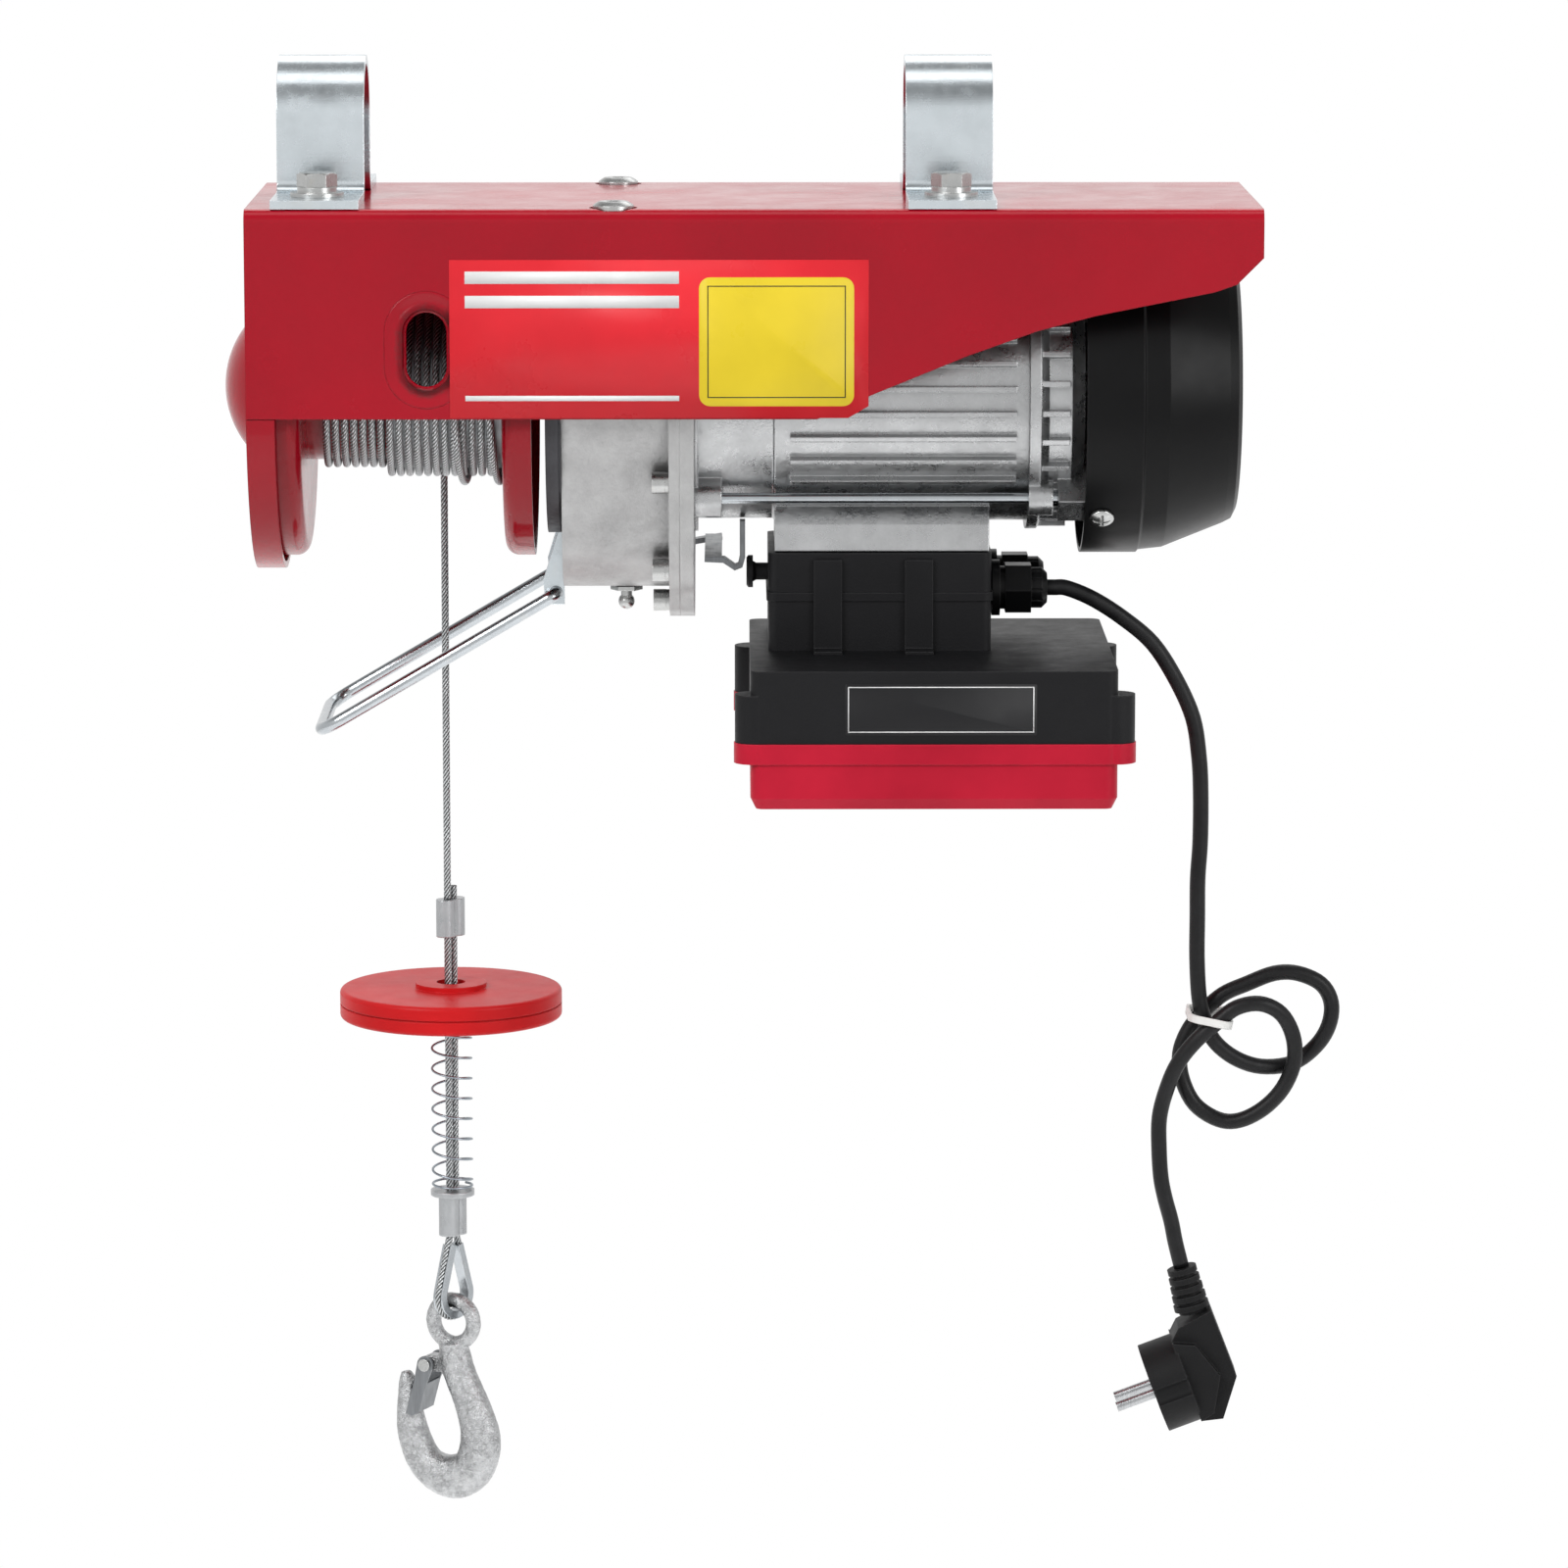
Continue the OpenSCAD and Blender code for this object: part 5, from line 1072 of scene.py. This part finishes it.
@dataclass
class ForgedHook:
    """The hook as forged: a bowl that swells and tapers, with its eye and the latch's lug."""

    eye_middle: Point = (-90.35 * MM, 46.66 * MM, -582.2 * MM)
    yaw: float = math.radians(-25.0)
    eye_reach: float = 10.75 * MM
    eye_hole: float = 7.0 * MM
    lug_at: Flat = (-11.8 * MM, -21.0 * MM)
    lug_radius: float = 4.0 * MM
    lug_width: float = 9.0 * MM
    squareness: float = 2.3
    grain: float = 2.4 * MM
    grain_depth: float = 0.34 * MM
    skin_cell: float = 0.6 * MM
    skin_passes: int = 18
    span_cuts: int = 8
    bowl_sides: int = 40
    eye_steps: int = 56
    eye_sides: int = 24
    lug_steps: int = 14
    # X, Z, width in the bowl's plane and thickness across it, in millimetres
    stations: tuple[tuple[float, float, float, float], ...] = (
        (0.0, -10.0, 13.0, 11.0), (0.5, -16.0, 15.5, 13.0), (3.0, -25.0, 15.5, 14.0), (7.5, -35.0, 16.0, 14.5),
        (11.5, -45.0, 17.5, 15.0), (14.0, -55.0, 19.6, 15.5), (13.2, -64.2, 20.5, 16.0), (8.9, -72.7, 20.7, 16.0),
        (1.0, -76.7, 21.7, 16.0), (-7.1, -76.2, 20.2, 15.5), (-14.8, -71.9, 17.6, 15.0), (-19.8, -64.2, 16.6, 13.5),
        (-22.8, -55.0, 15.5, 12.0), (-24.2, -46.0, 13.0, 10.5), (-24.8, -38.0, 10.5, 9.0), (-25.4, -31.0, 8.0, 7.5),
        (-26.2, -27.0, 4.5, 5.0),
    )
    finish: HotDipZinc = field(default_factory=lambda: HotDipZinc("hook_hot_dip"))

    def place(self, point: Sequence[float]) -> Vector:
        """Takes a point from the eye's own frame to where the hook hangs."""
        return Matrix.Rotation(self.yaw, 3, "Z") @ Vector(point) + Vector(self.eye_middle)

    def bowl(self, work: Mesh) -> None:
        """Adds the bowl from the eye to the tip."""
        middle = smooth_route([(x * MM, 0.0, z * MM) for x, z, _, _ in self.stations], self.span_cuts)
        sizes = smooth_route([(wide * MM, thick * MM, 0.0) for _, _, wide, thick in self.stations], self.span_cuts)

        def outline(ring: int, angle: float) -> float:
            """Gives the radius of a full oval, thick across and wide in the bowl's plane."""
            wide, thick = sizes[ring].x / 2, sizes[ring].y / 2
            across, within = abs(math.cos(angle)) / thick, abs(math.sin(angle)) / wide
            return (across**self.squareness + within**self.squareness) ** (-1.0 / self.squareness)

        side = self.place((0.0, 1.0, 0.0)) - self.place((0.0, 0.0, 0.0))
        sweep(work, [self.place(p) for p in middle], outline, self.bowl_sides, side)

    def eye(self, work: Mesh) -> None:
        """Adds the eye's ring, as a closed tube that ends in itself."""
        thick = self.eye_reach - self.eye_hole
        rings = []
        for i in range(self.eye_steps):
            turn = math.tau * i / self.eye_steps
            ring = []
            for k in range(self.eye_sides):
                angle = math.tau * k / self.eye_sides
                reach = self.eye_reach + thick * math.cos(angle)
                across = thick * math.sin(angle)
                ring.append(work.verts.new(self.place((reach * math.cos(turn), across, reach * math.sin(turn)))))
            rings.append(ring)
        for low, high in zip(rings, [*rings[1:], rings[0]]):
            join_rings(work, low, high)

    def lug(self, work: Mesh) -> None:
        """Adds the latch's lug: a round end with a flat web back into the shank."""
        x, z = self.lug_at
        radius = self.lug_radius
        rim = [
            (x + radius * math.cos(a), z + radius * math.sin(a))
            for a in (math.pi / 2 + math.pi * k / self.lug_steps for k in range(self.lug_steps + 1))
        ]
        rim += [(x + 3 * radius, z - radius), (x + 3 * radius, z + radius)]
        closed_shell(work, [
            [work.verts.new(self.place((px, side * self.lug_width / 2, pz))) for px, pz in rim] for side in (-1, 1)
        ])

    def forge(self, work: Mesh) -> None:
        """Fills the hook's three shells, which the even skin joins."""
        for part in (self.bowl, self.eye, self.lug):
            part(work)

    def build(self) -> None:
        """Makes the hook, joins its shells under one skin and roughens it as hot-dip zinc does."""
        shape = mesh_object("hook_forging", self.forge)
        skin = shape.modifiers.new("even_skin", "REMESH")
        skin.mode = "VOXEL"
        skin.voxel_size = self.skin_cell
        skin.use_smooth_shade = True
        soft = shape.modifiers.new("soft_skin", "SMOOTH")
        soft.factor = 0.5
        soft.iterations = self.skin_passes
        lumps = bpy.data.textures.new("zinc_lumps", "CLOUDS")
        lumps.noise_scale = self.grain
        lumps.noise_depth = 2
        rough = shape.modifiers.new("zinc_runs", "DISPLACE")
        rough.texture = lumps
        rough.texture_coords = "LOCAL"
        rough.mid_level = 0.5
        rough.strength = self.grain_depth
        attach(Piece(shape, self.finish.build(), "galvanised_steel", ("hook",)).dress(), "hook")


@dataclass
class BufferSpring:
    """The light spring that carries the limit disc."""

    outer: float = 20.0 * MM
    wire: float = 1.2 * MM
    length: float = 85.0 * MM
    curls: float = 8.0
    closed_gap: float = 0.55 * MM
    curl_steps: int = 48
    wire_sides: int = 12
    top_z: float = -432.0 * MM
    middle: Vector = field(default_factory=lambda: WireRope().block_middle())
    yaw: float = math.radians(50.0)
    finish: ZincPlate = field(default_factory=lambda: ZincPlate("spring_wire_zinc", (0.26, 0.29, 0.32), 0.24, 200.0))

    def route(self, per_turn: int) -> list[Vector]:
        """Gives the wire's middle line, from the closed curl on top to the one below.

        Args:
            per_turn: Points of a curl.

        Returns:
            The points of the line.
        """
        closed = self.wire + self.closed_gap
        spread = (self.length - 2 * self.wire - 2 * closed) / self.curls
        reach = (self.outer - self.wire) / 2
        made = []
        for i in range(round((self.curls + 2) * per_turn) + 1):
            t = i / per_turn
            opened = spread * max(0.0, min(t - 1.0, self.curls))
            drop = closed * min(t, 1.0) + opened + closed * max(0.0, t - 1 - self.curls)
            angle = math.tau * t + self.yaw
            place = Vector((reach * math.cos(angle), reach * math.sin(angle), self.top_z - self.wire / 2 - drop))
            made.append(place + Vector((self.middle.x, self.middle.y, 0)))
        return made

    def build(self) -> None:
        """Makes the spring."""
        path = self.route(self.curl_steps)
        shape = mesh_object(
            "buffer_spring_wire",
            lambda work: sweep(work, path, round_outline(self.wire / 2), self.wire_sides, Vector((1, 0, 0))),
        )
        Piece(shape, self.finish.build(), "zinc_plate", ("buffer_spring",)).dress()
        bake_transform(shape)


@dataclass
class MainsCord:
    """The mains cord with its knot-like loop, its tie and its angled plug."""

    diameter: float = 7.4 * MM
    sides: int = 28
    span_cuts: int = 5
    # Points of the middle line, in millimetres
    stations: tuple[Point, ...] = (
        (188, -20, -216.6), (194, -20, -216.6), (200, -20, -217), (212, -20, -222), (226, -20, -231),
        (240, -20, -243), (251, -20, -260), (259, -20, -278), (262, -20, -296), (263, -20, -313),
        (263, -20, -336), (262, -20, -354), (262, -20, -373), (262, -20, -391), (263, -20, -409),
        (265, -20, -419), (270, -19, -431), (280, -17, -440), (293, -14, -445), (308, -11, -444),
        (319, -10.5, -436), (325, -10.5, -426), (326, -11, -415), (321, -11, -406), (310, -11, -401),
        (299, -11, -401), (286, -11, -406), (275, -11, -411), (266, -11, -419), (259, -11, -428),
        (255, -11, -439), (256, -12, -451), (262, -14, -463), (273, -16, -470), (283, -18, -470),
        (294, -19.5, -464), (303, -20.5, -454), (308, -21.5, -441), (307, -24, -428),
        (301, -27, -417), (291, -29, -412), (280, -29, -414), (271, -29, -421), (261, -29, -430),
        (253, -27, -441), (248, -24, -454), (245, -21, -468), (245, -20, -483), (246, -20, -497),
        (248, -20, -507), (251, -20, -518), (253, -20, -528), (256, -20, -540),
    )
    finish: CordJacket = field(default_factory=lambda: CordJacket("cord_jacket_black"))

    def build(self) -> None:
        route = smooth_route([tuple(MM * c for c in p) for p in self.stations], self.span_cuts)
        shape = mesh_object(
            "power_cord_round",
            lambda work: sweep(work, route, round_outline(self.diameter / 2), self.sides, Vector((0, 1, 0))),
        )
        Piece(shape, self.finish.build(), "cord_rubber", ("power_cord",)).dress()
        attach(shape, FRAME)


@dataclass
class PressedWindows:
    """The soft dimple and rolled lip round the oval window in each side wall."""

    middle_x: float = -94.0 * MM
    middle_z: float = -99.5 * MM
    slot_radius: float = 10.0 * MM
    slot_half_straight: float = 7.75 * MM
    wall: float = 85.0 * MM
    arc_steps: int = 26
    # Distance out from the slot's edge and depth under the wall's face, in millimetres
    profile: tuple[Flat, ...] = (
        (8.95, 0.02), (8.3, 0.08), (7.4, 0.28), (6.2, 0.62), (5.0, 0.96), (3.6, 1.24), (2.2, 1.38), (1.0, 1.45),
        (0.2, 1.68), (-0.5, 2.2), (-0.85, 2.9), (-0.9, 3.8), (-0.5, 4.3), (-0.02, 4.3), (-0.02, 1.48), (8.95, 1.48),
    )
    finish: PowderCoat = field(default_factory=lambda: PowderCoat("window_lip_red", HOIST_RED))

    def around(self, reach: float) -> list[Flat]:
        """Gives the slot's outline moved outwards, as X and Z.

        Args:
            reach: How far outside the slot's edge it runs.

        Returns:
            The points, counted from the slot's right side over its top.
        """
        radius = self.slot_radius + reach
        made = []
        for half in (0, 1):
            centre = self.slot_half_straight * (1 - 2 * half)
            for k in range(self.arc_steps + 1):
                angle = math.pi * (half + k / self.arc_steps)
                across, up = radius * math.cos(angle), radius * math.sin(angle)
                made.append((self.middle_x + across, self.middle_z + centre + up))
        return made

    def lip(self, work: Mesh, side: int) -> None:
        """Fills one wall's lip.

        Args:
            work: Mesh that takes the lip.
            side: -1 for the near wall and 1 for the far one.
        """
        rings = [
            [work.verts.new((x, side * (self.wall - depth * MM), z)) for x, z in self.around(reach * MM)]
            for reach, depth in self.profile
        ]
        for low, high in zip(rings, [*rings[1:], rings[0]]):
            join_rings(work, low, high)

    def build(self) -> None:
        """Makes the lips of both walls."""
        red = self.finish.build()
        for name, side in (("window_lip_near", -1), ("window_lip_far", 1)):
            shape = mesh_object(name, lambda work, side=side: self.lip(work, side))
            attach(Piece(shape, red, "red_paint").dress(), FRAME)


@dataclass
class LabelFilms:
    """Bare printed films where the hoist carries its labels."""

    wall_y: float = -85.0 * MM
    film: float = 0.25 * MM
    low: Flat = (-83.4 * MM, -130.4 * MM)
    high: Flat = (106.3 * MM, -58.6 * MM)
    slope_start: Flat = (97.0 * MM, -130.4 * MM)
    slope_end: Flat = (106.3 * MM, -125.0 * MM)
    panel_low: Flat = (29.5 * MM, -125.0 * MM)
    panel_high: Flat = (99.7 * MM, -66.5 * MM)
    panel_corner: float = 5.0 * MM
    panel_thick: float = 0.08 * MM
    panel_inset: float = 4.0 * MM
    panel_rule: float = 0.5 * MM
    stripe: float = 5.6 * MM
    foot_stripe: float = 2.4 * MM
    foot_rise: float = 9.0 * MM
    band_drops: Flat = (8.0 * MM, 19.0 * MM)
    band_start: float = 7.0 * MM
    band_end: float = 9.0 * MM
    print_thick: float = 0.05 * MM
    rule_thick: float = 0.04 * MM
    receiver_y: float = -108.0 * MM
    plate_corner: float = 0.8 * MM
    plate_thick: float = 0.15 * MM
    plate_inset: float = 1.5 * MM
    plate_rule: float = 0.45 * MM
    receiver_low: Flat = (95.5 * MM, -272.5 * MM)
    receiver_high: Flat = (182.5 * MM, -249.0 * MM)
    red: VinylLabel = field(default_factory=lambda: VinylLabel("label_film_red", srgb(226, 44, 54)))
    yellow: VinylLabel = field(default_factory=lambda: VinylLabel("label_film_yellow", srgb(226, 200, 48)))
    white: VinylLabel = field(default_factory=lambda: VinylLabel("label_print_white", srgb(236, 236, 236)))
    grey: VinylLabel = field(default_factory=lambda: VinylLabel("label_print_grey", srgb(60, 56, 40)))
    dark: VinylLabel = field(default_factory=lambda: VinylLabel("label_film_black", srgb(24, 24, 26), 0.38))

    def wall_film(self, work: Mesh) -> None:
        """Fills the red film, whose lower corner is cut along the frame's slope."""
        outline = [self.low, self.slope_start, self.slope_end, self.high, (self.low[0], self.high[1])]
        closed_shell(work, [
            [work.verts.new((x, y, z)) for x, z in outline] for y in (self.wall_y, self.wall_y - self.film)
        ])

    def stripes(self, work: Mesh) -> None:
        """Fills plain white bands along the film's left half."""
        left, right = self.low[0] + self.band_start, self.panel_low[0] - self.band_end
        face = self.wall_y - self.film
        for z in (self.high[1] - drop for drop in self.band_drops):
            ribbon(work, [(left, z), (right, z)], self.stripe, face, self.print_thick)
        z = self.low[1] + self.foot_rise
        ribbon(work, [(left, z), (right, z)], self.foot_stripe, face, self.print_thick)

    def rules(self, low: Flat, high: Flat, inset: float, width: float, y: float) -> Fill:
        """Gives the filling of four fine bands that meet in square corners.

        Args:
            low: Lower X and Z of the film that the bands stand on.
            high: Higher X and Z of that film.
            inset: How far inside its edge they run.
            width: Width of the bands.
            y: Y of their back.

        Returns:
            What fills a mesh with them.
        """
        left, right = low[0] + inset, high[0] - inset
        foot, head = low[1] + inset, high[1] - inset
        half = width / 2

        def fill(work: Mesh) -> None:
            """Fills the four bands."""
            for line in (
                [(left - half, foot), (right + half, foot)],
                [(left - half, head), (right + half, head)],
                [(left, foot + half), (left, head - half)],
                [(right, foot + half), (right, head - half)],
            ):
                ribbon(work, line, width, y, self.rule_thick)

        return fill

    def panel(self, work: Mesh) -> None:
        """Fills the bare panel that lies on the wall's film."""
        back = self.wall_y - self.film
        rounded_sheet(work, self.panel_low, self.panel_high, self.panel_corner, back, self.panel_thick)

    def plate(self, work: Mesh) -> None:
        """Fills the receiver's film."""
        rounded_sheet(
            work, self.receiver_low, self.receiver_high, self.plate_corner, self.receiver_y, self.plate_thick
        )

    def build(self) -> None:
        """Makes the films and their plain print."""
        white, grey = self.white.build(), self.grey.build()
        panel_face = self.wall_y - self.film - self.panel_thick
        plate_face = self.receiver_y - self.plate_thick
        panel_rules = self.rules(self.panel_low, self.panel_high, self.panel_inset, self.panel_rule, panel_face)
        plate_rules = self.rules(self.receiver_low, self.receiver_high, self.plate_inset, self.plate_rule, plate_face)
        for name, fill, finish, slot in (
            ("label_wall_film", self.wall_film, self.red.build(), "red_paint"),
            ("label_wall_bands", self.stripes, white, "white_plastic"),
            ("label_wall_panel", self.panel, self.yellow.build(), "white_plastic"),
            ("label_wall_rules", panel_rules, grey, "black_plastic"),
            ("label_receiver_film", self.plate, self.dark.build(), "black_plastic"),
            ("label_receiver_rules", plate_rules, white, "white_plastic"),
        ):
            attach(Piece(mesh_object(name, fill), finish, slot).dress(), FRAME)


@dataclass
class CarriedParts:
    """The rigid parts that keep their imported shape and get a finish."""

    finishes: tuple[tuple[Finish, tuple[str, ...]], ...] = (
        (PowderCoat("frame_powder_red", HOIST_RED), ("frame_channel", "end_plate", "bearing_cap")),
        (PowderCoat("drum_paint_red", srgb(150, 6, 26), 0.2), ("drum",)),
        (ZincPlate("zinc_plate_blue"), ("strap_left", "strap_right", "bail_bracket")),
        (
            ZincPlate("bolt_zinc_dull", (0.44, 0.445, 0.44), 0.24, 240.0),
            (
                "strap_bolts", "strap_washers", "gearbox_mount_screws", "case_screws", "grease_nipple",
                "fan_cover_screws", "receiver_screws", "latch_pin",
            ),
        ),
        (
            ZincPlate("wire_zinc_bright", (0.42, 0.445, 0.465), 0.16, 120.0),
            ("limit_bail", "tie_rods", "thimble"),
        ),
        (
            CastMetal("case_cast_grey", (0.34, 0.34, 0.34), Pattern.SAND_CAST, 0.42),
            ("gearbox_case", "gearbox_cover"),
        ),
        (
            CastMetal("motor_cast_bright", (0.40, 0.405, 0.41), Pattern.PRESSURE_CAST, 0.28),
            ("motor_housing", "motor_end_shield"),
        ),
        (CastMetal("collar_iron_dark", (0.05, 0.05, 0.055), Pattern.SAND_CAST, 0.5, 0.6), ("gearbox_collar",)),
        (
            TurnedSteel("ground_steel"),
            (
                "drum_bearings", "layshaft_bearings", "motor_bearings", "drum_shaft", "drum_gear", "layshaft",
                "rotor", "plug_pins",
            ),
        ),
        (TurnedSteel("rope_core_grey", (0.30, 0.31, 0.32), 0.4), ("rope_core",)),
        (EnamelledCopper("stator_copper"), ("stator",)),
        (
            MouldedPlastic("box_plastic_black", srgb(19, 19, 21)),
            ("switch_box_base", "switch_box_cover", "receiver_clips", "receiver_cover", "limit_plunger"),
        ),
        (
            MouldedPlastic("cover_plastic_black", srgb(10, 10, 11), Pattern.POLISHED, 0.3, 0.3, 0.12),
            ("fan_cover", "power_gland", "spare_gland", "cooling_fan"),
        ),
        (
            MouldedPlastic("plug_rubber_black", srgb(18, 18, 19), Pattern.SPARK_GRAIN, 0.48),
            ("plug_relief", "plug_body"),
        ),
        (MouldedPlastic("nylon_white", (0.80, 0.80, 0.78), Pattern.POLISHED, 0.35, 0.1), ("capacitor", "cord_tie")),
        (
            MouldedPlastic("receiver_plastic_red", srgb(186, 26, 50), Pattern.POLISHED, 0.32, 0.2),
            ("receiver_base",),
        ),
        (MouldedPlastic("disc_plastic_red", srgb(198, 24, 28), Pattern.POLISHED, 0.34, 0.15), ("limit_disc",)),
        (
            CastMetal("ferrule_pressed", (0.38, 0.39, 0.40), Pattern.PRESSURE_CAST, 0.3, 0.95),
            ("ferrule_upper", "ferrule_lower"),
        ),
        (TurnedSteel("latch_steel_dark", (0.22, 0.23, 0.24), 0.35), ("latch", "trip_arm")),
        (CircuitBoard("board_green"), ("receiver_board",)),
        (MilkyDome("dome_milky"), ("indicator_dome",)),
    )

    def build(self) -> None:
        """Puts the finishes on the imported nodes."""
        for finish, nodes in self.finishes:
            material = finish.build()
            for name in nodes:
                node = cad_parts[name]
                if not node.data.materials:
                    node.data.materials.append(material)
                for place in node.material_slots:
                    place.link = "OBJECT"
                    place.material = material
        LOG.info("%d packed nodes dressed", sum(len(nodes) for _, nodes in self.finishes))


# ---- Studio --------------------------------------------------------------------------------


@dataclass(frozen=True)
class SoftBox:
    """One rectangular studio lamp that faces a point."""

    name: str
    place: Point
    target: Point
    size: Flat
    power: float

    def build(self) -> None:
        """Puts up the lamp."""
        lamp = bpy.data.lights.new(self.name, "AREA")
        lamp.shape = "RECTANGLE"
        lamp.size, lamp.size_y = self.size
        lamp.energy = self.power
        holder = bpy.data.objects.new(self.name, lamp)
        holder.location = self.place
        holder.rotation_euler = (Vector(self.target) - Vector(self.place)).to_track_quat("-Z", "Y").to_euler()
        bpy.context.scene.collection.objects.link(holder)


@dataclass
class Studio:
    """Camera, pale floor, soft lamps and a white room."""

    eye: Point = (0.0450, -3.2468, 0.2156)
    pitch: float = math.radians(9.235)
    yaw: float = math.radians(0.416)
    lens: float = 160.85
    sensor: float = 36.0
    clip: Flat = (0.05, 200.0)
    floor_z: float = -1.6
    floor_radius: float = 3.2
    floor_segments: int = 96
    floor_glow: float = 0.62
    room_low: float = 0.10
    room_high: float = 0.85
    room_heights: Flat = (-0.1, 0.95)
    ceiling: float = 0.32
    ceiling_heights: Flat = (0.3, 0.8)
    lamps: tuple[SoftBox, ...] = (
        SoftBox("key_left", (-1.7, -2.0, 1.4), (0.0, 0.0, -0.25), (1.3, 1.3), 48.0),
        SoftBox("fill_right", (2.0, -1.8, 0.6), (0.05, 0.0, -0.3), (1.0, 1.8), 28.0),
        SoftBox("top", (0.1, -0.2, 2.0), (0.05, 0.0, -0.2), (2.0, 0.8), 9.0),
        SoftBox("back", (0.3, 1.9, 1.7), (0.0, 0.0, -0.3), (1.8, 1.2), 14.0),
    )

    def build(self) -> None:
        """Sets up the whole studio."""
        self.camera()
        self.floor()
        self.room()
        for lamp in self.lamps:
            lamp.build()
        bpy.context.scene.view_settings.view_transform = "Standard"

    def camera(self) -> None:
        """Places the camera at its viewing angle."""
        data = bpy.data.cameras.new("camera")
        data.sensor_width = self.sensor
        data.lens = self.lens
        data.clip_start, data.clip_end = self.clip
        holder = bpy.data.objects.new("camera", data)
        holder.location = self.eye
        holder.rotation_euler = (math.pi / 2 - self.pitch, 0.0, -self.yaw)
        bpy.context.scene.collection.objects.link(holder)
        bpy.context.scene.camera = holder

    def floor(self) -> None:
        """Lays the pale floor."""

        def fill(work: Mesh) -> None:
            """Fills the floor's round sheet."""
            bmesh.ops.create_circle(
                work,
                cap_ends=True,
                segments=self.floor_segments,
                radius=self.floor_radius,
                matrix=Matrix.Translation((0, 0, self.floor_z)),
            )

        floor = mesh_object("studio_floor", fill)
        graph = Graph("studio_floor_pale")
        graph.set(Roughness=0.9, Specular_IOR_Level=0.1)
        graph.colour(graph.mix(graph.noise(0.6, 2.0), (0.90, 0.90, 0.90), (0.93, 0.93, 0.93)))
        glow = graph.node("ShaderNodeEmission")
        rays = graph.node("ShaderNodeLightPath")
        seen = graph.maths("MAXIMUM", rays.outputs["Is Camera Ray"], rays.outputs["Is Glossy Ray"])
        seen = graph.maths("MAXIMUM", seen, rays.outputs["Is Transmission Ray"])
        graph.link(graph.maths("MULTIPLY", seen, self.floor_glow), glow.inputs["Strength"])
        both = graph.node("ShaderNodeAddShader")
        graph.link(graph.shader.outputs["BSDF"], both.inputs[0])
        graph.link(glow.outputs["Emission"], both.inputs[1])
        graph.link(both.outputs["Shader"], graph.output.inputs["Surface"])
        floor.data.materials.append(graph.material)

    def room(self) -> None:
        """Makes the room white to the eye, greyer overhead in gloss, and dim below for its light."""
        world = bpy.data.worlds.new("studio_room")
        bpy.context.scene.world = world
        world.use_nodes = True
        tree = world.node_tree
        tree.nodes.clear()
        ground = tree.nodes.new("ShaderNodeBackground")
        output = tree.nodes.new("ShaderNodeOutputWorld")
        rays = tree.nodes.new("ShaderNodeLightPath")
        parts = tree.nodes.new("ShaderNodeSeparateXYZ")
        tree.links.new(tree.nodes.new("ShaderNodeTexCoord").outputs["Generated"], parts.inputs["Vector"])

        def by_height(low: float, high: float, start: float, end: float) -> Socket:
            """Gives a strength that goes from start to end between two heights of the sky."""
            made = tree.nodes.new("ShaderNodeMapRange")
            made.interpolation_type = "SMOOTHSTEP"
            tree.links.new(parts.outputs["Z"], made.inputs["Value"])
            for key, value in (("From Min", low), ("From Max", high), ("To Min", start), ("To Max", end)):
                made.inputs[key].default_value = value
            return made.outputs["Result"]

        def instead(ray: str, usual: Socket, special: Socket | float) -> Socket:
            """Gives the special strength to one kind of ray and the usual one to the rest."""
            made = tree.nodes.new("ShaderNodeMix")
            tree.links.new(rays.outputs[ray], made.inputs["Factor"])
            tree.links.new(usual, made.inputs["A"])
            if isinstance(special, float):
                made.inputs["B"].default_value = special
            else:
                tree.links.new(special, made.inputs["B"])
            return made.outputs["Result"]

        strength = by_height(*self.room_heights, self.room_low, self.room_high)
        strength = instead("Is Glossy Ray", strength, by_height(*self.ceiling_heights, 1.0, self.ceiling))
        for ray in ("Is Transmission Ray", "Is Camera Ray"):
            strength = instead(ray, strength, 1.0)
        tree.links.new(strength, ground.inputs["Strength"])
        ground.inputs["Color"].default_value = (1.0, 1.0, 1.0, 1.0)
        tree.links.new(ground.outputs["Background"], output.inputs["Surface"])


def main() -> None:
    """Builds the studio and every sub-assembly."""
    logging.basicConfig(level=logging.INFO, format="%(name)s: %(message)s")
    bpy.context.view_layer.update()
    Studio().build()
    MainsCord().build()
    WireRope().build()
    BufferSpring().build()
    ForgedHook().build()
    PressedWindows().build()
    LabelFilms().build()
    CarriedParts().build()


if __name__ == "__main__":
    main()
